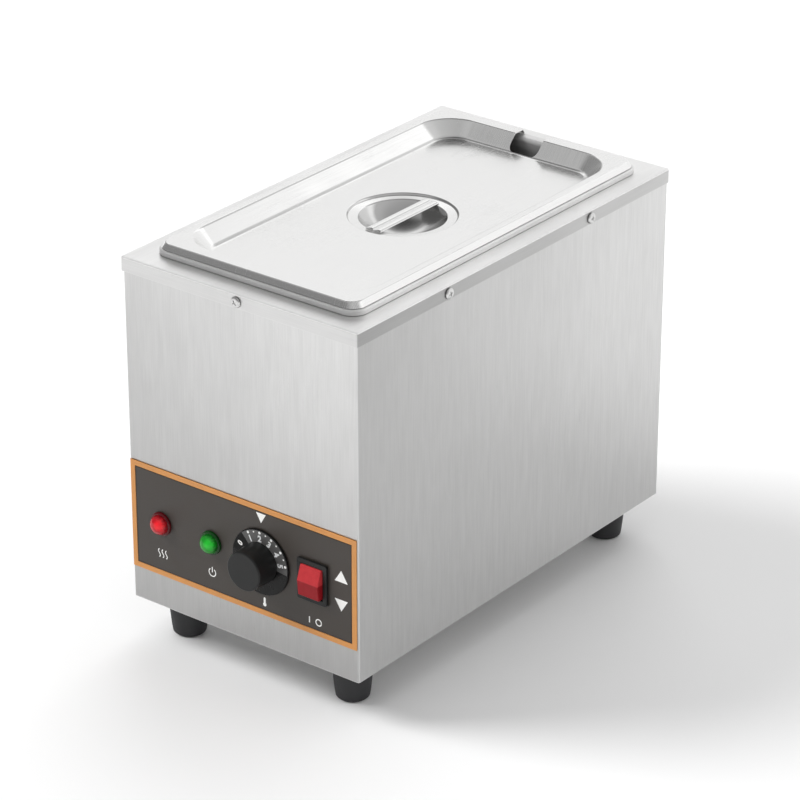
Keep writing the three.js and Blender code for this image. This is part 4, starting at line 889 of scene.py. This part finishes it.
def lamps():
    """Each lens in its own colour, given as its painted bright spot, its even ground and its painted
    dark rim.
    """
    dome_radius, dome_rise, brim_rise = 7.2, 6.2, 2
    brim = [(0, 0), (LENS_RADIUS, 0), (LENS_RADIUS, 1.1), (8.55, 1.7), (8.0, brim_rise), (7.6, 2.05)]
    dome = [(dome_radius * cosine(a), brim_rise + dome_rise * sine(a)) for a in range(0, 90, 9)]
    profile = brim + dome + [(0, brim_rise + dome_rise)]
    colours = {
        "red": ((0.85, 0.02, 0.03), (0.38, 0.006, 0.012), (0.07, 0.001, 0.003)),
        "green": ((0.02, 0.5, 0.035), (0.008, 0.2, 0.015), (0.001, 0.035, 0.003)),
    }
    for colour, tones in colours.items():
        node = f"lamp_{colour}_lens"
        x, back = middle(node).x, corners(node)[1][1]
        mesh = turned(profile, (x, back, CONTROL), 56, 50, front=True)
        look = lens_look(f"{colour}_lens", x, *tones)
        thing(node + "_fine", mesh, look, "housing", (node,))


refined("panel_border", overlay_orange, width=0.12)
refined("panel_field", overlay_dark, width=0.1)
field_line()
panel_marks()
lamps()


# Knob, its angles in degrees clockwise from the top

KNOB_BORE = 3.3


def dial_disc():
    """The flat disc behind the grip."""
    radius, covered_radius, bevel = 24.6, 15.4, 0.3
    thick = corners("dial")[1][1] - DIAL_FRONT
    # The rounding of the front edge, as (in from the radius, down from the face)
    rounding = ((0, 0.55), (0.25, 0.15), (0.7, 0))
    rim = [(radius - bevel, 0), (radius, bevel)]
    rim += [(radius - inset, thick - down) for inset, down in rounding]
    face = [(covered_radius, thick), (KNOB_BORE, thick), (KNOB_BORE, 0)]
    profile = [(KNOB_BORE, 0)] + rim + face
    mesh = turned(profile, (KNOB_X, DIAL_FRONT + thick, CONTROL), 96, front=True)
    level(thing("dial_disc", mesh, black_gloss, "knob", ("dial",)))


def grip():
    """The plain cylinder that is turned by hand, its front edge rounded."""
    face, back = [corner[1] for corner in corners("knob_grip")]
    tall, radius, foot_radius, round_off, hub = back - face, 14.5, 15, 1.3, 6
    bevel, draft, foot_rise = 0.3, 0.05, 2.0
    side = [(foot_radius - bevel, 0), (foot_radius, bevel), (foot_radius - draft, foot_rise)]
    centre_radius, centre_height = radius - round_off, tall - round_off
    for a in range(90, -1, -15):
        side.append((centre_radius + round_off * sine(a), centre_height + round_off * cosine(a)))
    profile = [(KNOB_BORE, 0)] + side + [(hub, tall), (0, tall)]
    mesh = turned(profile, (KNOB_X, back, CONTROL), 80, front=True)
    level(thing("grip", mesh, black_satin, "knob", ("knob_grip",)))


def on_dial(angle=0, radius=0, lift=0.01):
    """A place in front of the dial."""
    return (KNOB_X + radius * sine(angle), DIAL_FRONT - lift, CONTROL + radius * cosine(angle))


def dial_mark(name, outline, centre, look):
    mark(name, outline, centre, look, "knob", DIAL_PRINT_THICKNESS)


def sector(name, start, end, look):
    """A flat piece of ring between two angles."""
    inner, outer, steps = 14.9, 23.9, 48
    far = arc(outer, 90 - start, 90 - end, steps)
    near = arc(inner, 90 - end, 90 - start, steps)
    dial_mark(name, far + near, on_dial(), look)


def numeral(text, angle, radius, size, look):
    """A printed numeral that stands upright when its angle is at the top."""
    boldness, thickness, lift = 0.28, 0.01, 0.045
    curve = bpy.data.curves.new("numeral", "FONT")
    curve.body = text
    curve.size = size * MM
    curve.align_x = "CENTER"
    curve.align_y = "CENTER"
    curve.extrude = thickness * MM
    curve.offset = boldness * MM
    curve.resolution_u = 3
    holder = bpy.data.objects.new("numeral", curve)
    scene.collection.objects.link(holder)
    bpy.context.view_layer.update()
    depsgraph = bpy.context.evaluated_depsgraph_get()
    mesh = bpy.data.meshes.new_from_object(holder.evaluated_get(depsgraph))
    bpy.data.objects.remove(holder)
    x, y, z = on_dial(angle, radius, lift)
    turn = Matrix.Rotation(math.radians(angle), 4, "Y") @ Matrix.Rotation(math.radians(90), 4, "X")
    place = [c * MM for c in (x, y + SHIFT, z)]
    mesh.transform(Matrix.Translation(place) @ turn)
    thing(f"dial_numeral_{text}", mesh, look, "knob", ())


def dial_prints():
    """A grey band with five numerals and a dot at each half step, and the off mark on black."""
    first, step, off = -27, 27, -61
    circle, size, off_circle, off_size = 17.8, 6.3, 19.6, 5.6
    dot_circle, dot_lift, dot_radius, small_dot_radius = 22.5, 0.03, 1.05, 0.65
    sector("dial_grey_band", -41, 97, print_grey)
    sector("dial_black_patch", -80, -43, print_black)
    for i in range(5):
        numeral(str(i + 1), first + step * i, circle, size, print_silver)
    numeral("0", off, off_circle, off_size, print_white)
    for i in range(9):
        dot = arc(small_dot_radius if i % 2 else dot_radius, 0, 345, 14)
        centre = on_dial(first + step / 2 * i, dot_circle, dot_lift)
        dial_mark(f"dial_dot_{i}", dot, centre, print_white)


dial_disc()
grip()
dial_prints()


# Switch

refined("switch_housing", black_satin, width=0.35, segments=3)
refined("rocker", rocker_red, width=0.5, segments=3, angle=14)


# Pan and lid

PRESSED_SHEET = 0.8


def pan():
    """The pan from the middle of its floor to the edge of its flange."""
    rise, depth, fillet, neck_bend, edge, flat = 4.2, 150, 9, 3, 1.2, 4
    neck_flat, flange_flat, inner_margin, down_limit = 0.6, 0.5, 1, -0.5
    top = CAP_TOP + rise
    floor = top - depth + PRESSED_SHEET
    neck = top - neck_bend

    def side(out, height, lean):
        share = (height - floor) / (neck - floor)
        return (*grown(between(PAN_FLOOR, PAN_MOUTH, share), out), height, lean)

    def mouth(out, height, lean):
        return (*grown(PAN_MOUTH, out), height, lean)

    def flange(inset, height, lean):
        return (*grown(PAN_FLANGE, -inset), height, lean)

    rings = [side(-fillet - flat, floor, 0)]
    rings += [side(a - fillet, floor + u, lean) for a, u, lean in bends(fillet, 90)]
    rings += [mouth(neck_bend - a, top - u, lean) for a, u, lean in reversed(bends(neck_bend, 90))]
    rings.append(mouth(neck_bend + neck_flat, top, 0))
    rings.append(flange(edge + flange_flat, top, 0))
    rings += [flange(edge - a, top - u, -lean) for a, u, lean in bends(edge, 90)]
    rings.append(flange(0, CAP_TOP + GAP, -90))
    mesh = pressed(rings, PRESSED_SHEET, 14)
    level(thing("pan_pressing", mesh, steel_pan, "pan", ("pan",)))
    mesh.materials.append(steel_drawn)
    for face in mesh.polygons:
        normal, place = face.normal, face.center
        outward = normal.x * place.x + normal.y * (place.y - SHIFT * MM) > 0
        below = place.z < (neck - inner_margin) * MM
        face.material_index = int(below and (outward or normal.z < down_limit))


def lid_cup(panel):
    """The round cup of the lid: a ledge below the panel, and a bowl that is part of a ball."""
    bowl_radius, bowl_depth, lip, steps = 30.6, 14.4, 1, 15
    ledge_drop, painted_shade_drop, flat_limit = 1.6, 0.6, 0.9
    ledge = panel - ledge_drop
    floor = ledge - lip - bowl_depth
    ball = (bowl_radius**2 + bowl_depth**2) / (2 * bowl_depth)
    widest = math.asin(bowl_radius / ball)
    turns = [widest * (i + 0.5) / steps for i in range(steps)]
    bowl = [(ball * math.sin(a), floor + ball * (1 - math.cos(a))) for a in turns]
    # The rounding of the bowl's mouth and of the step at the ledge, as (radius, rise)
    mouth = ((30.9, -0.7), (31.3, -0.2), (31.9, 0))
    step_foot = ((37.6, 0), (38.1, 0.15), (38.45, 0.5))
    step_head = ((38.9, -0.35), (39.2, -0.1), (CUP_RADIUS, 0))
    upper = [(0, floor)] + bowl + [(r, ledge + rise) for r, rise in mouth + step_foot]
    step = [(r, panel + rise) for r, rise in step_head]
    lower = [(CUP_RADIUS, panel), (38.4, ledge), (32.4, ledge)]
    lower = [(r, z - PRESSED_SHEET) for r, z in lower]
    lower += [(r + PRESSED_SHEET, z - PRESSED_SHEET) for r, z in reversed(bowl)]
    profile = upper + step + lower + [(0, floor - PRESSED_SHEET)]
    mesh = turned(profile, (0, 0, 0), 96, 45)
    thing("lid_cup", mesh, steel_lid, "lid", ("lid",))
    mesh.materials.append(steel_cup_painted_shade)
    # The bowl and its step take a darker, smoother copy of the lid's steel: the darker tone is painted
    # shade.
    for face in mesh.polygons:
        below = face.center.z < (ledge - painted_shade_drop) * MM
        face.material_index = int(below or face.normal.z < flat_limit)


def lid():
    """The lid from the middle of its recess to its outer edge, cut for the cup and the spoon."""
    rise, drop, edge_rise = 8.6, 2.5, 4.5
    fillet, shoulder, crest_bend, crest_lean = 6, 3, 1.3, 55
    fillet_flat, shoulder_flat, crest_inset = 1.2, 0.4, 1.8
    top, panel = CAP_TOP + rise, CAP_TOP - drop
    run = (LID_RECESS[0] - LID_PANEL[0]) / 2
    slope = math.degrees(math.atan((top - panel) / run))
    tangent = math.tan(math.radians(slope / 2))
    start, end = -fillet * tangent, run + shoulder * tangent

    def recess(along, height, lean):
        return (*between(LID_PANEL, LID_RECESS, along / run), height, lean)

    def crest(inset, height, lean):
        return (*grown(LID_CREST, -inset), height, lean)

    rings = [recess(start - fillet_flat, panel, 0)]
    rings += [recess(start + a, panel + u, lean) for a, u, lean in bends(fillet, slope, 8)]
    rings += [recess(end - a, top - u, lean) for a, u, lean in reversed(bends(shoulder, slope, 6))]
    rings.append(recess(end + shoulder_flat, top, 0))
    rings.append(crest(crest_inset, top, 0))
    crest_bends = bends(crest_bend, crest_lean, 6)
    rings += [crest(crest_bend - a, top - u, -lean) for a, u, lean in crest_bends]
    rings.append((*LID_EDGE, CAP_TOP + edge_rise, -90))
    mesh = pressed(rings, PRESSED_SHEET, 18)
    ob = thing("lid_pressing", mesh, steel_lid, "lid", ("lid",))

    reach = 3
    hole = [(0, -reach), (CUP_RADIUS, -reach), (CUP_RADIUS, reach), (0, reach)]
    carve(ob, turned(hole, (0, 0, panel), 96))
    notch_width, notch_corner, notch_start, notch_length = 25, 5, 139, 48
    notch_below, notch_above = 6, 12
    notch = rounded(notch_width, notch_length, notch_corner, 8)
    notch_middle = notch_start + notch_length / 2
    heights = (CAP_TOP - notch_below, CAP_TOP + notch_above)
    carve(ob, skin([[(x, y + notch_middle, z) for x, y in notch] for z in heights]))
    ob.data.materials.clear()
    ob.data.materials.append(steel_lid)
    level(ob)
    lid_cup(panel)


def strap():
    """A pressed strap: two round ridges with a groove between them, its ends rounded down."""
    (left, front, bottom), (right, rear, top) = corners("lid_strap")
    half, end = (right - left) / 2, (rear - front) / 2
    slot, groove, turn, bevel, edge_round = 0.25, 0.9, 80, 0.15, 0.12
    # The rise of the ends, as (distance along, share of the height)
    end_rise_shares = ((0, 0.5), (0.4, 0.8), (1.0, 0.96), (1.6, 1))
    ridge = half - slot
    line = [(-half, bottom + bevel), (-half, bottom + 2 * bevel)]
    for side in (-1, 1):
        crest = side * (half - ridge / 2)
        for a in range(-turn, turn + 1, 16):
            fall = groove * (1 - cosine(a)) / (1 - cosine(turn))
            line.append((crest + ridge / 2 * sine(a), top - fall))
    line += [(half, bottom + 2 * bevel), (half, bottom + bevel)]
    line += [(half - bevel, bottom), (bevel - half, bottom)]
    rows = [(along - end, rise) for along, rise in end_rise_shares]
    rows += [(end - along, rise) for along, rise in reversed(end_rise_shares)]
    loops = [[(x, y, bottom + (z - bottom) * rise) for x, z in line] for y, rise in rows]
    ob = thing("strap", skin(loops, 35), steel_strap, "lid", ("lid_strap",))
    soften(ob, edge_round)


pan()
lid()
strap()


# Floor, light and camera


def stage():
    """A wide pale floor, its size in metres."""
    bpy.ops.mesh.primitive_plane_add(size=30, location=(0, 0, 0))
    floor = bpy.context.object
    floor.name = "floor"
    look = Look("floor", 0.85)
    cloud = look.noise(0.7, 2)
    look.set(Base_Color=look.blend(cloud, (0.93, 0.93, 0.93), (0.9, 0.9, 0.9)))
    floor.data.materials.append(look.material)


def lamp(name, data, place, aim, power, glossy=False):
    """Sets up a lamp. Unless glossy, the steel doesn't mirror it."""
    data.energy = power
    ob = bpy.data.objects.new(name, data)
    scene.collection.objects.link(ob)
    ob.location = place
    ob.rotation_euler = (Vector(aim) - Vector(place)).to_track_quat("-Z", "Y").to_euler()
    ob.visible_glossy = glossy
    ob.visible_camera = False


def window(name, place, aim, size, power, glossy=False):
    """A soft rectangular lamp."""
    data = bpy.data.lights.new(name, "AREA")
    data.shape = "RECTANGLE"
    data.size, data.size_y = size
    lamp(name, data, place, aim, power, glossy)


def sun(name, place, power, angle):
    """A far, soft and even light."""
    data = bpy.data.lights.new(name, "SUN")
    data.angle = math.radians(angle)
    lamp(name, data, place, (0, 0, 0), power)


def world():
    """White where the camera looks, and a studio that is brightest behind the object."""
    made = bpy.data.worlds.new("studio")
    scene.world = made
    made.use_nodes = True
    nodes, links = made.node_tree.nodes, made.node_tree.links
    nodes.clear()
    direction = nodes.new("ShaderNodeSeparateXYZ")
    links.new(nodes.new("ShaderNodeTexCoord").outputs["Generated"], direction.inputs[0])

    def ramp(axis, low, high, to_low, to_high):
        """A soft change over the directions between low and high along an axis."""
        node = nodes.new("ShaderNodeMapRange")
        node.interpolation_type = "SMOOTHSTEP"
        links.new(direction.outputs[axis], node.inputs["Value"])
        node.inputs["From Min"].default_value, node.inputs["From Max"].default_value = low, high
        node.inputs["To Min"].default_value, node.inputs["To Max"].default_value = to_low, to_high
        return node.outputs["Result"]

    def combine(how, first, *others):
        for other in others:
            node = nodes.new("ShaderNodeMath")
            node.operation = how
            links.new(first, node.inputs[0])
            links.new(other, node.inputs[1])
            first = node.outputs[0]
        return first

    glow = combine(
        "MULTIPLY",
        ramp("Y", -0.2, 0.5, 0.0, 1.0),
        ramp("Z", 0.59, 0.7, 0.7, 0.0),
        ramp("Z", 0.46, 0.53, 1.0, 1.5),
        ramp("X", -0.95, -0.7, 0.1, 1.0),
    )
    shade = combine(
        "MULTIPLY",
        ramp("Z", 0.7, 0.76, 0.0, -0.34),
        ramp("Y", -0.2, 0.1, 0.0, 1.0),
        ramp("X", -0.2, 0.1, 1.0, 0.0),
    )
    strength = combine(
        "ADD",
        glow,
        ramp("X", -0.2, 0.6, 0.0, 0.1),
        ramp("Z", 0.63, 0.72, 0.25, 0.57),
        ramp("Z", 0.76, 0.93, 0.0, -0.14),
        shade,
    )
    room = nodes.new("ShaderNodeBackground")
    links.new(strength, room.inputs["Strength"])
    seen = nodes.new("ShaderNodeBackground")
    for background in (room, seen):
        background.inputs["Color"].default_value = (1, 1, 1, 1)
    path = nodes.new("ShaderNodeLightPath")
    mix = nodes.new("ShaderNodeMixShader")
    out = nodes.new("ShaderNodeOutputWorld")
    links.new(path.outputs["Is Camera Ray"], mix.inputs[0])
    links.new(room.outputs[0], mix.inputs[1])
    links.new(seen.outputs[0], mix.inputs[2])
    links.new(mix.outputs[0], out.inputs["Surface"])


def photo_camera():
    """The camera that was fitted to the photo, its focal length in pixels of the picture."""
    sensor, focal_pixels, picture_pixels, far_limit = 36, 3608.4, 800, 50
    azimuth, elevation, distance = 37.90, 25.74, 2567.3
    aim = Vector((-1.52, -1.08 + SHIFT, 145.82)) * MM
    data = bpy.data.cameras.new("camera")
    data.sensor_width = sensor
    data.lens = sensor * focal_pixels / picture_pixels
    data.clip_end = far_limit
    eye = bpy.data.objects.new("camera", data)
    scene.collection.objects.link(eye)
    level_share = cosine(elevation)
    back = (sine(azimuth) * level_share, -cosine(azimuth) * level_share, sine(elevation))
    eye.location = aim + Vector(back) * distance * MM
    eye.rotation_euler = (-Vector(back)).to_track_quat("-Z", "Y").to_euler()
    scene.camera = eye


stage()
sun("key", place=(-2.5, -1.3, 2.4), power=2.3, angle=28)
sun("back", place=(-0.6, 1.3, 1.6), power=0.7, angle=40)
window("overhead", place=(0.3, 0.6, 4.5), aim=(0, 0, 0.15), size=(3.0, 3.0), power=18)
window(
    "low_window",
    place=(-0.75, -1.35, 0.16),
    aim=(0, -0.18, 0.1),
    size=(0.7, 0.4),
    power=0.3,
    glossy=True,
)
world()
photo_camera()
scene.view_settings.view_transform = "Standard"
